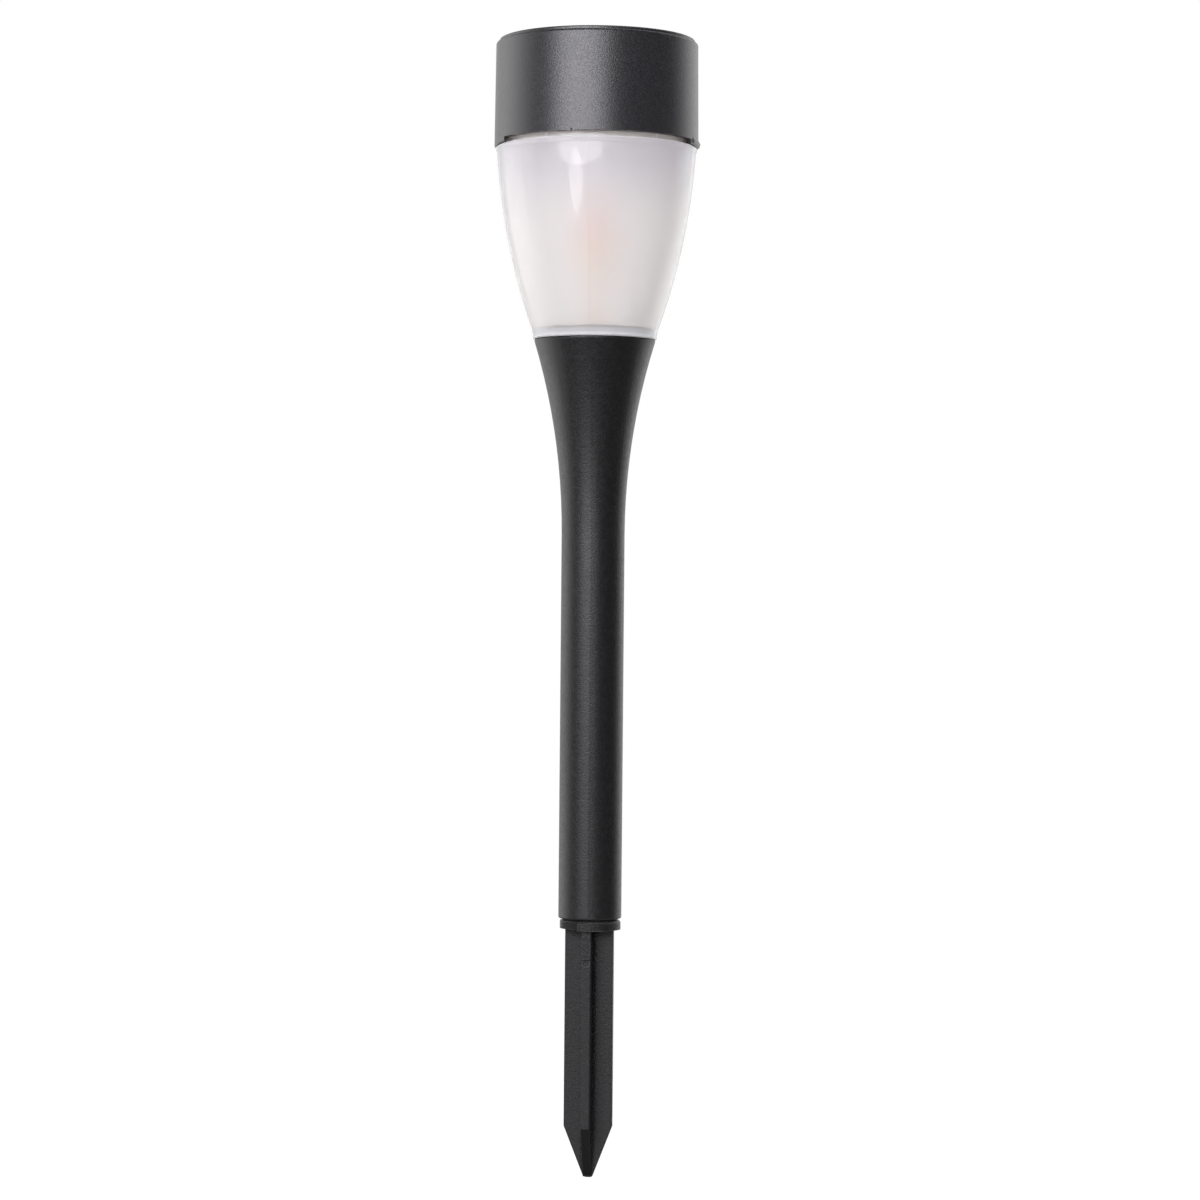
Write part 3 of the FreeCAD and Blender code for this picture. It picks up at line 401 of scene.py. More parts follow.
# Edge colours here are paler partly for wear and partly as a painted highlight; on the stake, far paler, they
# are a painted highlight.
black_abs = moulded_black(
    "black_abs", colour=(0.012, 0.012, 0.0145, 1), edge_colour=(0.045, 0.045, 0.05, 1), roughness=0.36,
    bump_depth=0.07 * MM, grain_per_m=2200.0, dust=0.10, gloss=0.86, coarse=0.08, lift=1.8)
black_polypropylene = moulded_black(
    "black_polypropylene", colour=(0.0060, 0.0060, 0.0068, 1), edge_colour=(0.030, 0.030, 0.032, 1),
    roughness=0.42, bump_depth=0.09 * MM, grain_per_m=1700.0, dust=0.05, gloss=0.60)
stake_polypropylene = moulded_black(
    "stake_polypropylene", colour=(0.0075, 0.0075, 0.0080, 1), edge_colour=(0.14, 0.14, 0.145, 1),
    roughness=0.46, bump_depth=0.12 * MM, grain_per_m=2300.0, dust=0.05, gloss=0.42, lift=1.9, edge_amount=1.0)
finish_on(black_abs, "solar_cap", "panel_bezel")
finish_on(black_polypropylene, "pole")
finish_on(stake_polypropylene, "ground_stake")

# %% [markdown]
# ## Pad, collar and corners of the stake
# The top of the front fin is a pad with a much deeper grain, for the thumb that pushes the stake home. Where
# the lip doesn't cover the collar, its face is smoother and leans under, so its normal is tipped down. The
# inner corners between the fins and the slopes of the pointed end are smoother too, and their colour is
# darkened as painted shade, standing in for the light that reaches them less. These could be four materials,
# but their borders would cross the frame's triangles. Masks made from where a point lies and faces do it in
# the one material there is.

# %% Masks on the stake
PAD_FRONT, PAD_LENGTH, PAD_SOFT = -7.9 * MM, 9.4 * MM, 0.1 * MM
COLLAR_R, COLLAR_SOFT, COLLAR_FROM, COLLAR_FULL = 9.75 * MM, 0.05 * MM, 0.1 * MM, 0.3 * MM
CORNER_NEAR, CORNER_FAR = 1.9 * MM, 3.0 * MM
SLOPE_STARTS, SLOPE_FULL = -0.15, -0.30
tree = stake_polypropylene.node_tree
shader = tree.nodes["Principled BSDF"]
place = piece_place(tree)
spot = node(tree, "SeparateXYZ", {0: place}).outputs
pad = maths(tree, "MULTIPLY", ramp_value(tree, spot["Y"], PAD_FRONT, PAD_FRONT - PAD_SOFT),
            ramp_value(tree, spot["Z"], -PAD_LENGTH - PAD_SOFT, -PAD_LENGTH))
inside_lip = ramp_value(tree, axis_distance(tree, place), COLLAR_R, COLLAR_R - COLLAR_SOFT)
on_collar = maths(tree, "MULTIPLY", inside_lip, ramp_value(tree, spot["Z"], COLLAR_FROM, COLLAR_FULL))
reach = maths(tree, "MAXIMUM", maths(tree, "ABSOLUTE", spot["X"]), maths(tree, "ABSOLUTE", spot["Y"]))
facing = coordinate(tree, node(tree, "NewGeometry").outputs["Normal"], "Z")
# This mask marks the inner corners and the down-facing slopes: painted shade in the colour, and a smoother
# skin.
painted_shade_and_polish = maths(tree, "MAXIMUM", ramp_value(tree, reach, CORNER_FAR, CORNER_NEAR),
                 ramp_value(tree, facing, SLOPE_STARTS, SLOPE_FULL))
print("pad grained over", round(PAD_LENGTH / MM, 1), "mm")

# %% Grain, colour and lean of the stake's faces
PAD_DEEPER, PAINTED_SHADE_SHARE, PAINTED_SHADE_COLOUR = 1.6, 0.85, (0.0015, 0.0015, 0.0016, 1)
COLLAR_POLISH, CORNER_POLISH, COLLAR_LEAN = -0.10, -0.26, -0.55


def fed_by(socket):
    """The socket that feeds this one, so that something can be put in between."""
    return socket.links[0].from_socket


bump_height = fed_by(shader.inputs["Normal"]).node.inputs["Height"]
deeper = maths(tree, "ADD", 1.0, maths(tree, "MULTIPLY", pad, PAD_DEEPER))
tree.links.new(maths(tree, "MULTIPLY", fed_by(bump_height), deeper), bump_height)

# Painted shade: the corners between the fins and the slopes of the pointed end are darkened in the colour.
colour = shader.inputs["Base Color"]
painted_shade_amount = maths(tree, "MULTIPLY", painted_shade_and_polish, PAINTED_SHADE_SHARE)
tree.links.new(blend_colours(tree, painted_shade_amount, fed_by(colour), PAINTED_SHADE_COLOUR), colour)

roughness = shader.inputs["Roughness"]
polish = maths(tree, "ADD", maths(tree, "MULTIPLY", on_collar, COLLAR_POLISH),
               maths(tree, "MULTIPLY", painted_shade_and_polish, CORNER_POLISH))
tree.links.new(maths(tree, "ADD", fed_by(roughness), polish), roughness)

normal = shader.inputs["Normal"]
lean = node(tree, "CombineXYZ", {2: maths(tree, "MULTIPLY", on_collar, COLLAR_LEAN)}).outputs[0]
leaning = node(tree, "VectorMath", {0: fed_by(normal), 1: lean}, operation="ADD").outputs[0]
tree.links.new(node(tree, "VectorMath", {0: leaning}, operation="NORMALIZE").outputs[0], normal)
print("stake nodes", len(tree.nodes))

# %% [markdown]
# ## The frosted bowl
# The bowl is a milky plastic with a polished outer skin. It passes light but blurs it, so it is neither
# glass nor paint: part of the light scatters on the surface and the rest goes through a rough refraction.
# A clear coat gives the skin its sharp highlight. The white is warm lower down and painted darker and cooler
# towards the neck, as painted shade from the dark head that sits inside. A cooler band at the foot is painted
# shade from the bowl's floor, and a thin white line at the rim is a painted highlight.

# %% Frosted bowl
FOOT_BAND, FOOT_SOFT, RIM_EDGE, RIM_SOFT = 2.5 * MM, 0.3 * MM, 0.45 * MM, 0.1 * MM
NECK_SHADE_FROM = 34 * MM  # above the pole's top
WARM_MILK, PAINTED_NECK_SHADE = (0.95, 0.930, 0.926, 1), (0.84, 0.815, 0.855, 1)
PAINTED_FOOT_SHADE, PAINTED_RIM_HIGHLIGHT, CLOUD_WHITE = (0.92, 0.92, 0.95, 1), (1, 1, 1, 1), (1.0, 0.97, 0.93, 1)
bowl_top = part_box("frosted_bowl")[1].z
pole_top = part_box("pole")[1].z
frosted, tree, shader = new_material(
    "frosted_plastic", IOR=1.46, Transmission_Weight=0.72, Coat_Weight=1.0, Coat_Roughness=0.02,
    Coat_IOR=1.5)
place = piece_place(tree)
level = coordinate(tree, place, "Z")
foot_edge, rim_edge = pole_top + FOOT_BAND, bowl_top - RIM_EDGE
# Painted shade: darker and cooler towards the neck, and a cooler band at the foot.
milk = blend_colours(tree, ramp_value(tree, level, pole_top + NECK_SHADE_FROM, bowl_top), WARM_MILK, PAINTED_NECK_SHADE)
milk = blend_colours(tree, ramp_value(tree, level, foot_edge, foot_edge - FOOT_SOFT), milk, PAINTED_FOOT_SHADE)
# Painted highlight: a thin white line along the rim's rounded edge.
milk = blend_colours(tree, ramp_value(tree, level, rim_edge, rim_edge + RIM_SOFT), milk, PAINTED_RIM_HIGHLIGHT)
clouds = ramp_value(tree, noise(tree, place, 45.0, 3.0), 0.3, 0.7, 0.0, 0.05)
tree.links.new(blend_colours(tree, clouds, milk, CLOUD_WHITE), shader.inputs["Base Color"])
frost = noise(tree, place, 900.0, 2.0)
tree.links.new(ramp_value(tree, frost, 0.3, 0.7, 0.50, 0.58), shader.inputs["Roughness"])
finish_on(frosted, "frosted_bowl")

# %% [markdown]
# ## Clear and milky mouldings
# The panel's window and the lamp are clear. The neck ring is milky: light spreads inside it before it comes
# out again, which is what the Subsurface sockets are for. Glass in a path tracer throws a solid shadow,
# because lamps can't be aimed at through a bend, so for shadow rays the shader is swapped for a plain
# transparent one. That swap stays in the material, where the Light Path node belongs.

# %% Clear plastics
FLOW_PER_M, FLOW_STRENGTH = 160.0, 0.6


def let_lamps_through(tree, shader, tint):
    """Mixes in a Transparent shader for the rays that lamps send."""
    path = node(tree, "LightPath")
    clear = node(tree, "BsdfTransparent", {"Color": tint})
    mixed = node(tree, "MixShader", {0: path.outputs["Is Shadow Ray"], 1: shader.outputs[0],
                                     2: clear.outputs[0]})
    tree.links.new(mixed.outputs[0], tree.nodes["Material Output"].inputs["Surface"])


def clear_moulding(name, colour, roughness, wave_depth, clarity=1.0, **sockets):
    """Clear plastic with faint waves where it flowed into the mould."""
    made, tree, shader = new_material(name, Base_Color=colour, IOR=1.49, Transmission_Weight=clarity,
                                      **sockets)
    flow = noise(tree, piece_place(tree), FLOW_PER_M, 2.0)
    tree.links.new(ramp_value(tree, flow, 0.3, 0.7, roughness, roughness + 0.04),
                   shader.inputs["Roughness"])
    add_bump(tree, shader, flow, wave_depth, FLOW_STRENGTH)
    let_lamps_through(tree, shader, colour)
    return made


window_plastic = clear_moulding("window_plastic", (0.95, 0.96, 0.97, 1), 0.02, 0.01 * MM)
led_resin = clear_moulding("led_resin", (1.0, 0.97, 0.86, 1), 0.03, 0.01 * MM)
finish_on(window_plastic, "panel_window")
finish_on(led_resin, "led")

# %% Milky neck ring
# Its ribs stand out from the neck and are painted nearly white as a highlight, and the valleys between them
# are greyer.
VALLEY_COLOUR, PAINTED_RIB_HIGHLIGHT, RIB_SOFT = (0.80, 0.775, 0.75, 1), (1, 0.99, 0.98, 1), 0.08 * MM
clear_plastic = clear_moulding(
    "clear_plastic", VALLEY_COLOUR, 0.22, 0.02 * MM, clarity=0.25, Subsurface_Weight=0.9,
    Subsurface_Radius=(1.0, 0.95, 0.9), Subsurface_Scale=6 * MM)
tree = clear_plastic.node_tree
neck_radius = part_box("neck_seal")[1].x
rib_highlight = ramp_value(tree, axis_distance(tree, piece_place(tree)), neck_radius, neck_radius + RIB_SOFT)
tree.links.new(blend_colours(tree, rib_highlight, VALLEY_COLOUR, PAINTED_RIB_HIGHLIGHT),
               tree.nodes["Principled BSDF"].inputs["Base Color"])
finish_on(clear_plastic, "neck_ring")

# %% [markdown]
# ## White mouldings, rubber and foam
# The housing under the cap and its door are white plastic, the disc round the lamp is a brighter white film,
# and a rubber ring and a foam pad seal and carry the parts. They differ in colour, gloss and grain, but are
# layered in the same way, so they share one function too, and a list holds what is different about each.

# %% White plastic, rubber and foam
MATT_COARSE, MATT_EDGE, MATT_RUBBED, MATT_DUST, MATT_DUST_PATCHES = 0.5, 0.25 * MM, 0.3, 0.1, 120.0
MATT_WORN_LIFT = 1.2
MATT_FINISHES = (
    # name, colour, colour of its grain, roughness, grain per m, bump depth in mm, CAD nodes
    ("white_plastic", (0.74, 0.74, 0.72, 1), (0.80, 0.80, 0.78, 1), 0.42, 1500.0, 0.012,
     ("lamp_housing", "battery_door")),
    ("bright_white", (0.86, 0.86, 0.85, 1), (0.90, 0.90, 0.89, 1), 0.25, 900.0, 0.006,
     ("reflector_disc",)),
    ("seal_rubber", (0.018, 0.018, 0.018, 1), (0.028, 0.028, 0.027, 1), 0.62, 1900.0, 0.03,
     ("neck_seal",)),
    ("foam_tape", (0.045, 0.045, 0.045, 1), (0.015, 0.015, 0.015, 1), 0.95, 2200.0, 0.15,
     ("cell_pad",)),
    ("switch_black", (0.015, 0.015, 0.016, 1), (0.022, 0.022, 0.023, 1), 0.40, 1800.0, 0.02,
     ("switch_body", "switch_knob")),
    ("chip_black", (0.020, 0.020, 0.021, 1), (0.032, 0.032, 0.033, 1), 0.55, 4200.0, 0.02,
     ("driver_chip",)),
    ("choke_body", (0.03, 0.028, 0.03, 1), (0.05, 0.045, 0.045, 1), 0.35, 1600.0, 0.03,
     ("choke_coil",)),
    ("panel_backing", (0.62, 0.63, 0.62, 1), (0.68, 0.69, 0.68, 1), 0.50, 1800.0, 0.01,
     ("solar_cell",)),
)


def matt_moulding(name, colour, speckled, roughness, grain_per_m, bump_depth):
    made, tree, shader = new_material(name)
    edge_colour = tuple(min(1.0, c * MATT_WORN_LIFT) for c in colour)
    speckle, _ = grained_skin(
        tree, shader, colour, speckled, edge_colour,
        grain={"Grain_per_m": grain_per_m, "Coarse_share": MATT_COARSE},
        edges={"Width": MATT_EDGE, "Amount": MATT_RUBBED},
        dust={"Amount": MATT_DUST, "Patches_per_m": MATT_DUST_PATCHES}, bump_depth=bump_depth)
    tree.links.new(ramp_value(tree, speckle, 0.0, 1.0, roughness, roughness + 0.08),
                   shader.inputs["Roughness"])
    return made


for name, colour, speckled, roughness, grain_per_m, depth, wearers in MATT_FINISHES:
    finish_on(matt_moulding(name, colour, speckled, roughness, grain_per_m, depth * MM), *wearers)

# %% [markdown]
# ## Metal
# The screws are zinc plated, the contacts and the solder are tin. Bare metal gets nearly all its look from
# what it mirrors, so it needs a roughness that changes: a stretched noise makes the fine lines that rolling
# and turning leave, and a slow one the faint stains of handling.

# %% Plated metals
STAINS_PER_M, METAL_EDGE, METAL_RUBBED = 420.0, 0.15 * MM, 0.6
LINE_DEPTH, LINE_STRENGTH = 0.01 * MM, 0.5


def plated_metal(name, colour, stained, roughness, lines):
    """Bare metal. Lines is the fine noise's scale per metre along x, y and z."""
    made, tree, shader = new_material(name, Metallic=1.0)
    place = piece_place(tree)
    stretched = node(tree, "Mapping", {"Vector": place, "Scale": lines}).outputs[0]
    drawn = noise(tree, stretched, 1.0, 2.0)
    stain = noise(tree, place, STAINS_PER_M, 4.0)
    edges = place_group(tree, edge_group, Width=METAL_EDGE, Amount=METAL_RUBBED)
    base = blend_colours(tree, ramp_value(tree, stain, 0.4, 0.7), colour, stained)
    base = blend_colours(tree, edges.outputs["Mask"], base, colour)
    tree.links.new(base, shader.inputs["Base Color"])
    rough = ramp_value(tree, drawn, 0.3, 0.7, roughness - 0.06, roughness + 0.10)
    tree.links.new(rough, shader.inputs["Roughness"])
    add_bump(tree, shader, drawn, LINE_DEPTH, LINE_STRENGTH)
    return made


screw_steel = plated_metal(
    "screw_steel", colour=(0.66, 0.66, 0.65, 1), stained=(0.50, 0.49, 0.46, 1), roughness=0.28,
    lines=(600.0, 600.0, 5200.0))
contact_plate = plated_metal(
    "contact_plate", colour=(0.76, 0.74, 0.70, 1), stained=(0.60, 0.57, 0.50, 1), roughness=0.24,
    lines=(900.0, 5200.0, 900.0))
solder_tin = plated_metal(
    "solder_tin", colour=(0.80, 0.80, 0.79, 1), stained=(0.62, 0.61, 0.58, 1), roughness=0.20,
    lines=(1500.0, 1500.0, 1500.0))
finish_on(screw_steel, "housing_screws", "board_screws", "door_screw")
finish_on(contact_plate, "flat_contact", "leaf_contact")

# %% [markdown]
# ## Battery, board and wires
# The rechargeable cell wears a shrunk sleeve that stops short of its ends, so its colour changes with the
# place along its axis, and so does how metallic it is. The board has a green lacquer over its tracks, and
# the wires are soft glossy plastic.

# %% Battery sleeve
SLEEVE_END, NUB_LENGTH, BAND_LENGTH, SLEEVE_SOFT = 1.2 * MM, 1.0 * MM, 5.0 * MM, 0.15 * MM
SLEEVE_GREEN, SCUFFED_GREEN = (0.02, 0.20, 0.07, 1), (0.03, 0.26, 0.10, 1)
BAND_GREY, CAN_METAL, SLEEVE_COAT = (0.70, 0.70, 0.68, 1), (0.68, 0.67, 0.64, 1), 0.6
battery_low, battery_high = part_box("battery")
sleeve, tree, shader = new_material("battery_sleeve", Coat_Roughness=0.12)
place = piece_place(tree)
along = coordinate(tree, place, "X")
near_edge = battery_low.x + SLEEVE_END
far_edge = battery_high.x - NUB_LENGTH - SLEEVE_END
band_edge = far_edge - BAND_LENGTH
covered = maths(tree, "MULTIPLY", ramp_value(tree, along, near_edge, near_edge + SLEEVE_SOFT),
                ramp_value(tree, along, far_edge, far_edge + SLEEVE_SOFT, 1.0, 0.0))
scuff = noise(tree, place, 700.0, 4.0)
green = blend_colours(tree, ramp_value(tree, scuff, 0.4, 0.7), SLEEVE_GREEN, SCUFFED_GREEN)
band = ramp_value(tree, along, band_edge, band_edge + SLEEVE_SOFT)
sleeved = blend_colours(tree, band, green, BAND_GREY)
tree.links.new(blend_colours(tree, covered, CAN_METAL, sleeved), shader.inputs["Base Color"])
tree.links.new(maths(tree, "SUBTRACT", 1.0, covered), shader.inputs["Metallic"])
tree.links.new(maths(tree, "MULTIPLY", covered, SLEEVE_COAT), shader.inputs["Coat Weight"])
tree.links.new(ramp_value(tree, scuff, 0.3, 0.7, 0.26, 0.36), shader.inputs["Roughness"])
finish_on(sleeve, "battery")

# %% Board and wires
LACQUER_DARK, LACQUER_LIGHT = (0.012, 0.10, 0.035, 1), (0.05, 0.22, 0.08, 1)
TRACKS_PER_M, TRACK_WIDTH = 230.0, 0.012
board, tree, shader = new_material("board_green", Coat_Weight=0.5, Coat_Roughness=0.15)
place = piece_place(tree)
tracks = node(tree, "TexBrick", {"Vector": place, "Scale": TRACKS_PER_M, "Mortar Size": TRACK_WIDTH,
                                 "Color1": (0, 0, 0, 1), "Color2": (0.25, 0.25, 0.25, 1),
                                 "Mortar": (1, 1, 1, 1)}).outputs["Color"]
tree.links.new(blend_colours(tree, tracks, LACQUER_DARK, LACQUER_LIGHT), shader.inputs["Base Color"])
glaze = noise(tree, place, 800.0, 2.0)
tree.links.new(ramp_value(tree, glaze, 0.3, 0.7, 0.30, 0.42), shader.inputs["Roughness"])
finish_on(board, "circuit_board")


def wire_plastic(name, colour, shade):
    made, tree, shader = new_material(name, Coat_Weight=0.3, Coat_Roughness=0.2)
    drawn = noise(tree, piece_place(tree), 900.0, 3.0)
    base = blend_colours(tree, ramp_value(tree, drawn, 0.3, 0.7), colour, shade)
    tree.links.new(base, shader.inputs["Base Color"])
    tree.links.new(ramp_value(tree, drawn, 0.3, 0.7, 0.32, 0.45), shader.inputs["Roughness"])
    return made


finish_on(wire_plastic("lead_red", (0.45, 0.012, 0.010, 1), (0.36, 0.010, 0.008, 1)),
          "solar_lead_red", "battery_lead_red")
finish_on(wire_plastic("lead_black", (0.012, 0.012, 0.013, 1), (0.022, 0.022, 0.023, 1)),
          "solar_lead_black", "battery_lead_black")

# %% [markdown]
# ## The flame
# Inside the bowl stands a little amber flame that glows when the lamp shines down on it. The frame holds a
# plain turned one for its size. The real moulding is fluted and twisted like a candle's flame, which suits
# modelling by hand: a disc for the foot, raised ring after ring, each scaled and turned a little. Every
# fourth point of a ring is drawn outwards first, and those points become the flutes as the rings climb.

# %% Foot and stem of the flame
RING_POINTS, FLUTES, FLUTE_PULL = 24, 6, 0.10
FOOT_R, FOOT_T, STEM_R, FLAME_R = 4.5 * MM, 1.2 * MM, 1.6 * MM, 5.2 * MM
flame_low, flame_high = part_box("flame_insert")
STEM_TOP = flame_low.z + 18 * MM
FOOT_PROFILE = (
    # level and radius of each ring: the foot's edge, its chamfer, the stem's fillet and the stem
    (flame_low.z + FOOT_T * 0.6, FOOT_R),
    (flame_low.z + FOOT_T, FOOT_R * 0.86),
    (flame_low.z + FOOT_T + 0.5 * MM, STEM_R * 1.3),
    (flame_low.z + FOOT_T + 1.2 * MM, STEM_R),
    (STEM_TOP - 3 * MM, STEM_R),
    (STEM_TOP, STEM_R),
)
flame = start_disc("flame_glow", FOOT_R, RING_POINTS, (0, 0, flame_low.z))
radius = FOOT_R
for level, wanted in FOOT_PROFILE:
    raise_face(level, wanted / radius)
    radius = wanted
print("stem ends at", round(STEM_TOP / MM, 1), "mm")

# %% Body of the flame
FLAME_RINGS, TWIST, TIP_SIZE = 14, math.radians(150), 0.25
FIRST_SHARE, SHARES_TAKEN = 0.04, 0.955  # where the rings begin, and how much of the height they take
BELLY, TAPER, LEAST_R = 0.62, 0.85, 0.25 * MM


def flame_radius(share):
    """Radius of the flame's body at a share of its height: full low down, then a long taper."""
    return FLAME_R * math.sin(math.pi * share ** BELLY) ** TAPER + LEAST_R


def draw_flutes():
    """Pulls points of the selected ring out and in by turns, once for each flute."""
    shape = bmesh.from_edit_mesh(flame.data)
    ring = [v for v in shape.verts if v.select]
    ring.sort(key=lambda v: math.atan2(v.co.y, v.co.x))
    for index, point in enumerate(ring):
        pull = FLUTE_PULL * math.cos(math.tau * index * FLUTES / RING_POINTS)
        point.co.x *= 1 + pull
        point.co.y *= 1 + pull
    bmesh.update_edit_mesh(flame.data)


for step in range(1, FLAME_RINGS):
    share = FIRST_SHARE + SHARES_TAKEN * step / FLAME_RINGS
    wanted = flame_radius(share)
    raise_face(STEM_TOP + (flame_high.z - STEM_TOP) * share, wanted / radius,
               turn=TWIST / FLAME_RINGS if step > 1 else 0.0)
    radius = wanted
    if step == 1:
        draw_flutes()
raise_face(flame_high.z, TIP_SIZE)
close_edit()
smoother = flame.modifiers.new("round", "SUBSURF")
smoother.levels = smoother.render_levels = 2
apply_modifiers(flame)
bpy.ops.object.shade_smooth()
print("flame points", len(flame.data.vertices), "rings", FLAME_RINGS)

# %% Finish of the flame
AMBER, EMBER_RED, HEAT_WAVER = (1.0, 0.56, 0.12, 1), (0.92, 0.20, 0.07, 1), 0.5
amber, tree, shader = new_material("amber_flame", IOR=1.49, Transmission_Weight=0.35)
place = piece_place(tree)
flow = noise(tree, place, 180.0, 2.0)
waver = maths(tree, "MULTIPLY", maths(tree, "SUBTRACT", flow, 0.5), HEAT_WAVER)
heat = maths(tree, "ADD", ramp_value(tree, coordinate(tree, place, "Z"), STEM_TOP, flame_high.z), waver)
base = blend_colours(tree, ramp_value(tree, heat, 0.1, 0.6), AMBER, EMBER_RED)
tree.links.new(base, shader.inputs["Base Color"])
tree.links.new(ramp_value(tree, flow, 0.3, 0.7, 0.22, 0.34), shader.inputs["Roughness"])
flame.data.materials.append(amber)
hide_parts("flame_insert")
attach(flame, "bowl")
print("flame rides on bowl and stands for flame_insert")

# %% [markdown]
# ## The solar panel
# Under the window lies a small panel: four strips of silicon in series, with thin silver fingers across them
# and a wider bus along each one, all on a pale backing that shows between the strips. One strip is modelled
# and copied, and so is one finger, because they are cut and printed alike.

# %% Silicon strips
STRIPS, STRIP_GAP, CELL_MARGIN = 4, 0.45 * MM, 0.9 * MM
STRIP_T, STRIP_WALL, STRIP_BEVEL = 0.08 * MM, 0.6, 0.06 * MM  # the wall is a share of the thickness
cell_low, cell_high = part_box("solar_cell")
cell_centre = (cell_low + cell_high) / 2
strip_length = cell_high.x - cell_low.x - 2 * CELL_MARGIN
strip_width = (strip_length - (STRIPS - 1) * STRIP_GAP) / STRIPS
strip_pitch = strip_width + STRIP_GAP
first_y = cell_centre.y - (STRIPS - 1) / 2 * strip_pitch

strip = start_plate("strip", strip_length, strip_width, (cell_centre.x, first_y, cell_high.z))
extrude_up(STRIP_T * STRIP_WALL)
bpy.ops.mesh.inset(thickness=STRIP_BEVEL)
bpy.ops.transform.translate(value=(0, 0, STRIP_T * (1 - STRIP_WALL)))
close_edit()
strips = [strip] + [copy_at(strip, (0, index * strip_pitch, 0)) for index in range(1, STRIPS)]
silicon = join(strips, "silicon_strips")
print("strips", STRIPS, "each", round(strip_length / MM, 2), "x", round(strip_width / MM, 2), "mm")

# %% Silver lines
BUS_WIDTH, FINGER_WIDTH, FINGERS, LINE_T, LINE_INSET = 0.8 * MM, 0.12 * MM, 21, 0.03 * MM, 0.15
BUS_SHORTER, FINGER_SHORTER, BUS_OFF_CENTRE = 1 * MM, 0.7 * MM, 0.32  # the last is a share of the width
line_z = cell_high.z + STRIP_T
finger_pitch = strip_length / FINGERS


def silver_line(width_x, width_y, x, y):
    """A flat printed line with its edges drawn in."""
    line = start_plate("line", width_x, width_y, (x, y, line_z))
    extrude_up(LINE_T)
    bpy.ops.mesh.inset(thickness=min(width_x, width_y) * LINE_INSET)
    close_edit()
    return line


bus = silver_line(strip_length - BUS_SHORTER, BUS_WIDTH, cell_centre.x,
                  first_y - strip_width * BUS_OFF_CENTRE)
finger = silver_line(FINGER_WIDTH, strip_width - FINGER_SHORTER,
                     cell_centre.x - strip_length / 2 + finger_pitch / 2, first_y)
lines = [bus, finger]
for index in range(STRIPS):
    shift_y = index * strip_pitch
    if index:
        lines.append(copy_at(bus, (0, shift_y, 0)))
        lines.append(copy_at(finger, (0, shift_y, 0)))
    for count in range(1, FINGERS):
        lines.append(copy_at(finger, (count * finger_pitch, shift_y, 0)))
silver = join(lines, "silver_lines")
print("silver lines", STRIPS * (FINGERS + 1))

# %% Finish of the panel
# The crystals of cast silicon each reflect their own blue, which a Voronoi texture gives cell by cell.
CRYSTALS_PER_M, DEEP_BLUE, BRIGHT_BLUE = 420.0, (0.006, 0.012, 0.045, 1), (0.016, 0.040, 0.13, 1)
silicon_blue, tree, shader = new_material("silicon_blue", Coat_Weight=0.3, Coat_Roughness=0.05)
flattened = node(tree, "Mapping", {"Vector": piece_place(tree), "Scale": (1.0, 1.0, 0.0)}).outputs[0]
crystals = node(tree, "TexVoronoi", {"Vector": flattened, "Scale": CRYSTALS_PER_M, "Randomness": 1.0})
tone = node(tree, "SeparateColor", {0: crystals.outputs["Color"]}).outputs[0]
tree.links.new(blend_colours(tree, tone, DEEP_BLUE, BRIGHT_BLUE), shader.inputs["Base Color"])
tree.links.new(ramp_value(tree, tone, 0.0, 1.0, 0.25, 0.42), shader.inputs["Roughness"])
silicon.data.materials.append(silicon_blue)
silver.data.materials.append(matt_moulding("printed_silver", (0.46, 0.46, 0.45, 1), (0.56, 0.56, 0.55, 1),
                                           0.38, 2600.0, 0.01 * MM))
for piece, slot_name in ((silicon, "solar_silicon"), (silver, "contact_plate")):
    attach(piece, "head")
    print(piece.name, "rides on head")

# %% [markdown]
# ## The lamp's inside
# A clear lamp shows its lead frame: two thin posts, one of which ends in a little cup that holds the die.
# They are drawn down from small discs, and only there because the resin lets them be seen.

# %% Lead frame
PIN_PITCH, POST_R, POST_POINTS = 2.54 * MM, 0.24 * MM, 20
CUP_R, CUP_DEPTH, CUP_WALL, CUP_FLOOR, CUP_INWARD = 0.75 * MM, 0.45 * MM, 0.18, 0.6, 0.5 * MM
THIN_END_R, THIN_SHORTER, HEAD_FROM, HEAD_FULL = 0.42 * MM, 0.5 * MM, 1.3 * MM, 0.8 * MM
led_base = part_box("led")[0].z
cup_z = led_base + 4.0 * MM
frame_top = led_base + 8.3 * MM


def frame_post(x, end_z, end_r, hollow):
    """A round post from the lamp's base down to its end, which widens, with or without a cup."""
    post = start_disc("post", POST_R, POST_POINTS, (x, 0, frame_top))
    for level, size in ((end_z + HEAD_FROM, 1.0), (end_z + HEAD_FULL, end_r / POST_R), (end_z, 1.0)):
        raise_face(level, size, x)
    if hollow:
        bpy.ops.mesh.inset(thickness=end_r * CUP_WALL)
        bpy.ops.transform.translate(value=(0, 0, CUP_DEPTH))
        bpy.ops.transform.resize(value=(CUP_FLOOR, CUP_FLOOR, 1), center_override=(x, 0, end_z))
    close_edit()
    return post


cup_post = frame_post(-PIN_PITCH / 2 + CUP_INWARD, cup_z, CUP_R, True)
thin_post = frame_post(PIN_PITCH / 2, cup_z + THIN_SHORTER, THIN_END_R, False)
lead_frame = join([cup_post, thin_post], "lamp_lead_frame")
bpy.ops.object.shade_smooth_by_angle(angle=math.radians(40))
lead_frame.data.materials.append(contact_plate)
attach(lead_frame, "head")
print("lead frame faces", len(lead_frame.data.polygons))

# %% [markdown]
# ## Solder
# Each wire ends in a small bright cone of solder on the board. The places come from the wires: the middle of
# the points of a wire that touch the board. One cone is modelled for each, since it must hug its own wire.

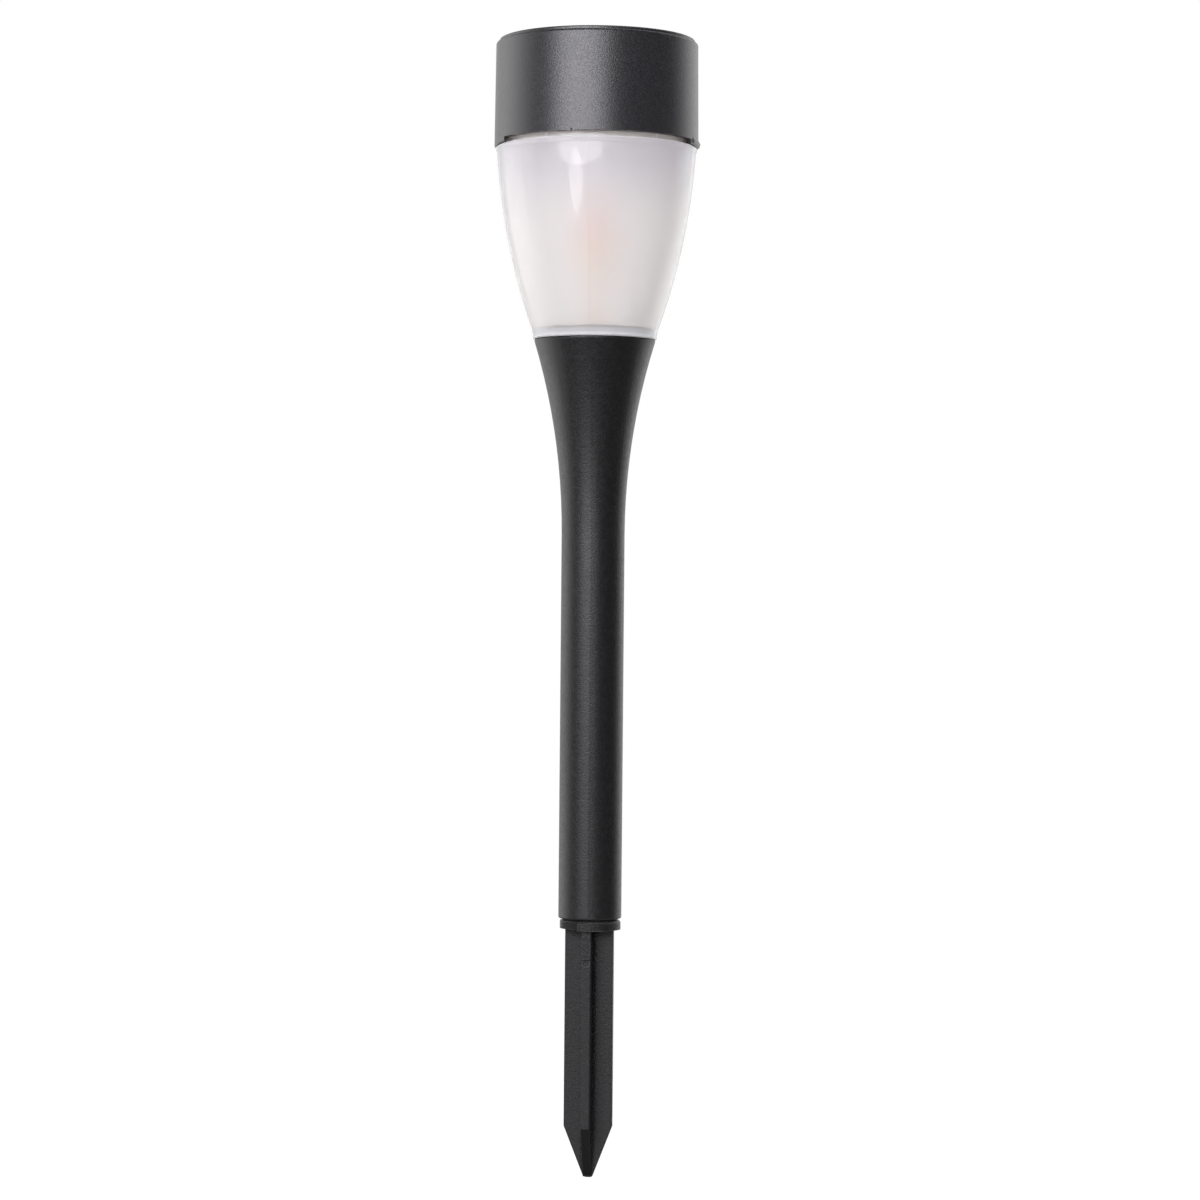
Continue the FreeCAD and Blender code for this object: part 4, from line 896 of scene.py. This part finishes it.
# %% Solder joints
SOLDER_R, SOLDER_H, SOLDER_POINTS, TOUCHING = 1.25 * MM, 1.0 * MM, 24, 0.02 * MM
SOLDER_STEPS = ((0.10, 0.97), (0.18, 0.82), (0.27, 0.80), (0.45, 0.86))  # share of the height, size
board_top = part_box("circuit_board")[1].z


def foot_of(name, level):
    """The middle of the points of a CAD node that lie at a level."""
    points = [v.co for v in nodes[name].data.vertices if abs(v.co.z - level) < TOUCHING]
    return sum(points, Vector()) / len(points)


def solder_cone(spot):
    """A cone that is hollow in its flanks, as solder is where it wets a wire."""
    level = board_top
    cone = start_disc("cone", SOLDER_R, SOLDER_POINTS, (spot.x, spot.y, level))
    for rise, size in SOLDER_STEPS:
        level += rise * SOLDER_H
        raise_face(level, size, spot.x, spot.y)
    close_edit()
    return cone


leads = ("solar_lead_red", "solar_lead_black", "battery_lead_red", "battery_lead_black")
solder = join([solder_cone(foot_of(name, board_top)) for name in leads], "solder_joints")
bpy.ops.object.shade_smooth_by_angle(angle=math.radians(50))
solder.data.materials.append(solder_tin)
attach(solder, "head")
print("solder joints", len(leads))

# %% [markdown]
# ## Words by the switch
# The switch's two places are marked on the disc in raised letters, as on most lamps of this kind. Letters
# are quickest as a text object, which becomes a mesh before it is turned over to face down. They stand a
# fifth of a millimetre proud, as if they were cut into the mould.

# %% Raised letters
LETTER_SIZE, LETTER_T, OFF_X, ON_X = 2.6 * MM, 0.2 * MM, -9.6 * MM, 10.6 * MM
disc_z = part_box("reflector_disc")[0].z
knob_low, knob_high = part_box("switch_knob")
switch_y = (knob_low.y + knob_high.y) / 2


def raised_letters(words, name, x, y, z, size):
    """Letters that face down from level z, centred at x and y."""
    select_nothing()
    bpy.ops.object.text_add()
    letters = bpy.context.object
    letters.data.body = words
    letters.data.size = size
    letters.data.align_x, letters.data.align_y = "CENTER", "CENTER"
    letters.data.extrude = LETTER_T / 2
    bpy.ops.object.convert(target="MESH")
    letters = bpy.context.object
    letters.rotation_euler = (math.pi, 0, 0)
    letters.location = (x, y, z - LETTER_T / 2)
    settle(letters, name)
    open_edit(letters)
    bpy.ops.mesh.remove_doubles(threshold=0.0005 * MM)
    close_edit()
    return letters


off_word = raised_letters("OFF", "word_off", OFF_X, switch_y, disc_z, LETTER_SIZE)
on_word = raised_letters("ON", "word_on", ON_X, switch_y, disc_z, LETTER_SIZE)
letter_plastic = matt_moulding("letter_grey", (0.16, 0.16, 0.17, 1), (0.20, 0.20, 0.21, 1), 0.45,
                               1500.0, 0.01 * MM)
for word in (off_word, on_word):
    word.data.materials.append(letter_plastic)
    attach(word, "head")
    print(word.name, "faces", len(word.data.polygons))

# %% Polarity marks on the door
PLUS_SIZE, PLUS_FROM_END, MINUS_SIZE, MINUS_FROM_END = 4.5 * MM, 4 * MM, 5.5 * MM, 3 * MM
door_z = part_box("battery_door")[0].z
mark_y = (battery_low.y + battery_high.y) / 2
plus_mark = raised_letters("+", "mark_plus", battery_high.x - PLUS_FROM_END, mark_y, door_z, PLUS_SIZE)
minus_mark = raised_letters("-", "mark_minus", battery_low.x + MINUS_FROM_END, mark_y, door_z, MINUS_SIZE)
for mark in (plus_mark, minus_mark):
    mark.data.materials.append(letter_plastic)
    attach(mark, "battery_pack")
    print(mark.name, "rides on battery_pack")

# %% [markdown]
# ## The floor
# The torch stands on the tip of its stake on a round white floor. For the camera the floor is mostly an even
# white light with some plain shading mixed in, so that the shadow under the tip stays. For every other ray it
# is a grey paint, which throws less light up at the torch. Seen from underneath it is clear, so that the
# torch can be looked at from below.

# %% Floor
FLOOR_R, FLOOR_POINTS, FLOOR_BELOW = 0.22, 96, 0.1 * MM
PAINT_GREY, PAINT_WHITE = (0.28, 0.28, 0.28, 1), (0.85, 0.85, 0.85, 1)
FLOOR_GLOW, GLOW_SHARE = 1.12, 0.82


def seen_directly(tree):
    """1 for the rays of the camera and of clear parts, 0 for all others, and the Light Path node."""
    path = node(tree, "LightPath")
    return maths(tree, "MAXIMUM", path.outputs["Is Camera Ray"],
                 path.outputs["Is Transmission Ray"]), path


select_nothing()
bpy.ops.mesh.primitive_circle_add(vertices=FLOOR_POINTS, radius=FLOOR_R, fill_type="NGON",
                                  location=(0, 0, low_corner.z - FLOOR_BELOW))
floor = settle(bpy.context.object, "floor")
white_floor, tree, shader = new_material("white_floor", Roughness=0.6)
seen, _ = seen_directly(tree)
tree.links.new(blend_colours(tree, seen, PAINT_GREY, PAINT_WHITE), shader.inputs["Base Color"])
glow = node(tree, "Emission", {"Color": (1, 1, 1, 1), "Strength": FLOOR_GLOW})
lit = node(tree, "MixShader", {0: maths(tree, "MULTIPLY", seen, GLOW_SHARE), 1: shader.outputs[0],
                               2: glow.outputs[0]})
clear = node(tree, "BsdfTransparent")
under = node(tree, "NewGeometry").outputs["Backfacing"]
two_sided = node(tree, "MixShader", {0: under, 1: lit.outputs[0], 2: clear.outputs[0]})
tree.links.new(two_sided.outputs[0], tree.nodes["Material Output"].inputs["Surface"])
floor.data.materials.append(white_floor)
print("floor at", round(low_corner.z / MM, 2), "mm")

# %% [markdown]
# ## The studio
# The torch was lit against a white wall, by one tall soft lamp at the front left. The world is that wall:
# white to the camera and through clear parts, and in gloss it is white behind the torch and dark in front,
# which draws the pale rims down both sides of the black shells. On matt surfaces it sheds an even light, a
# little under full strength from above and less from below.

# %% World
CAMERA_SIDE = math.radians(7.8)
WALL_SIDE = CAMERA_SIDE + math.radians(15)
DIFFUSE_LEVEL, UNDER_LEVEL, FRONT_LEVEL, CEILING_LEVEL = 0.90, 0.62, 0.05, 0.15
# Each pair of numbers is where a change of light starts and ends: towards the wall, the ceiling, the ground.
WALL_EDGE, CEILING_EDGE, GROUND_EDGE = (-0.06, 0.20), (0.40, 0.70), (-0.3, 0.1)
world = bpy.data.worlds.new("studio")
bpy.context.scene.world = world
world.use_nodes = True
tree = world.node_tree
way = node(tree, "TexCoord").outputs["Generated"]
behind = (-math.sin(WALL_SIDE), math.cos(WALL_SIDE), 0.0)
facing = node(tree, "VectorMath", {0: way, 1: behind}, operation="DOT_PRODUCT").outputs["Value"]
rise = coordinate(tree, way, "Z")
gloss_level = maths(tree, "MULTIPLY", ramp_value(tree, facing, *WALL_EDGE, FRONT_LEVEL, 1.0),
                    ramp_value(tree, rise, *CEILING_EDGE, 1.0, CEILING_LEVEL))
matt_level = ramp_value(tree, rise, *GROUND_EDGE, UNDER_LEVEL, DIFFUSE_LEVEL)
seen, path = seen_directly(tree)
strength = blend_values(tree, path.outputs["Is Glossy Ray"], matt_level, gloss_level)
strength = blend_values(tree, seen, strength, 1.0)
background = tree.nodes["Background"]
background.inputs["Color"].default_value = (1, 1, 1, 1)
tree.links.new(strength, background.inputs["Strength"])
print("world nodes", len(tree.nodes))

# %% Lamps
LAVENDER, WHITE = (0.98, 0.955, 1.0), (1, 1, 1)
AIM_BELOW_TOP = 60 * MM
SOFT_LAMPS = (
    # name, degrees right of the camera and above level, distance, width, height, brightness, shape, colour
    ("bank", -19.5, 14, 1.6, 1.60, 0.50, 7.9, "RECTANGLE", LAVENDER),
    ("funnel", -19, -0.5, 1.6, 1.50, 0.16, 2.9, "ELLIPSE", LAVENDER),
    ("stem", -23.5, -6, 1.6, 0.44, 0.34, 3.0, "ELLIPSE", LAVENDER),
    ("rim_left", -116, 6, 1.8, 1.3, 1.6, 0.8, "RECTANGLE", WHITE),
    ("rim_right", 140, 6, 1.8, 1.1, 1.6, 0.5, "RECTANGLE", WHITE),
    ("overhead", 150, 62, 1.7, 1.1, 1.1, 0.9, "ELLIPSE", WHITE),
)


def soft_lamp(name, side, rise, distance, width, tall, brightness, shape, colour):
    """A soft lamp aimed at the bowl, as bright as a wall of that strength, whatever its size."""
    data = bpy.data.lights.new(name, "AREA")
    data.shape, data.size, data.size_y = shape, width, tall
    area = width * tall * (math.pi / 4 if shape == "ELLIPSE" else 1.0)
    data.energy = brightness * math.pi * area
    data.color = colour
    lamp = bpy.data.objects.new(name, data)
    bpy.context.scene.collection.objects.link(lamp)
    turn, lift = CAMERA_SIDE + math.radians(side), math.radians(rise)
    away = Vector((math.sin(turn) * math.cos(lift), -math.cos(turn) * math.cos(lift), math.sin(lift)))
    lamp.location = Vector((0, 0, high_corner.z - AIM_BELOW_TOP)) + away * distance
    lamp.rotation_mode = "QUATERNION"
    lamp.rotation_quaternion = away.to_track_quat("Z", "Y")
    lamp.visible_camera = False
    print(name, "energy", round(data.energy, 2), "W at", [round(v, 2) for v in lamp.location])


for settings in SOFT_LAMPS:
    soft_lamp(*settings)

# %% [markdown]
# ## The camera
# It looks level at the middle of the torch from a little over a metre, through a long lens, so the sides stay
# nearly parallel. It is a hair off true: moved two or three millimetres to the right, and rolled by half a
# degree.

# %% Camera
DISTANCE, EYE_LEVEL, SIDE_STEP, ROLL = 1.111, 0.1059, 0.0024, math.radians(-0.5)
LENS_MM, SENSOR_MM = 103.5, 36.0
camera_data = bpy.data.cameras.new("camera")
camera_data.lens, camera_data.sensor_width = LENS_MM, SENSOR_MM
camera = bpy.data.objects.new("camera", camera_data)
bpy.context.scene.collection.objects.link(camera)
back = Vector((math.sin(CAMERA_SIDE), -math.cos(CAMERA_SIDE), 0))
right = Vector((math.cos(CAMERA_SIDE), math.sin(CAMERA_SIDE), 0))
camera.location = back * DISTANCE + right * SIDE_STEP + Vector((0, 0, EYE_LEVEL))
camera.rotation_mode = "XYZ"
camera.rotation_euler = (math.pi / 2, ROLL, CAMERA_SIDE)
bpy.context.scene.camera = camera
bpy.context.scene.view_settings.view_transform = "Standard"
print("camera at", [round(v, 3) for v in camera.location])

# %% [markdown]
# ## Finish

# %% Finish
print("scene finished")
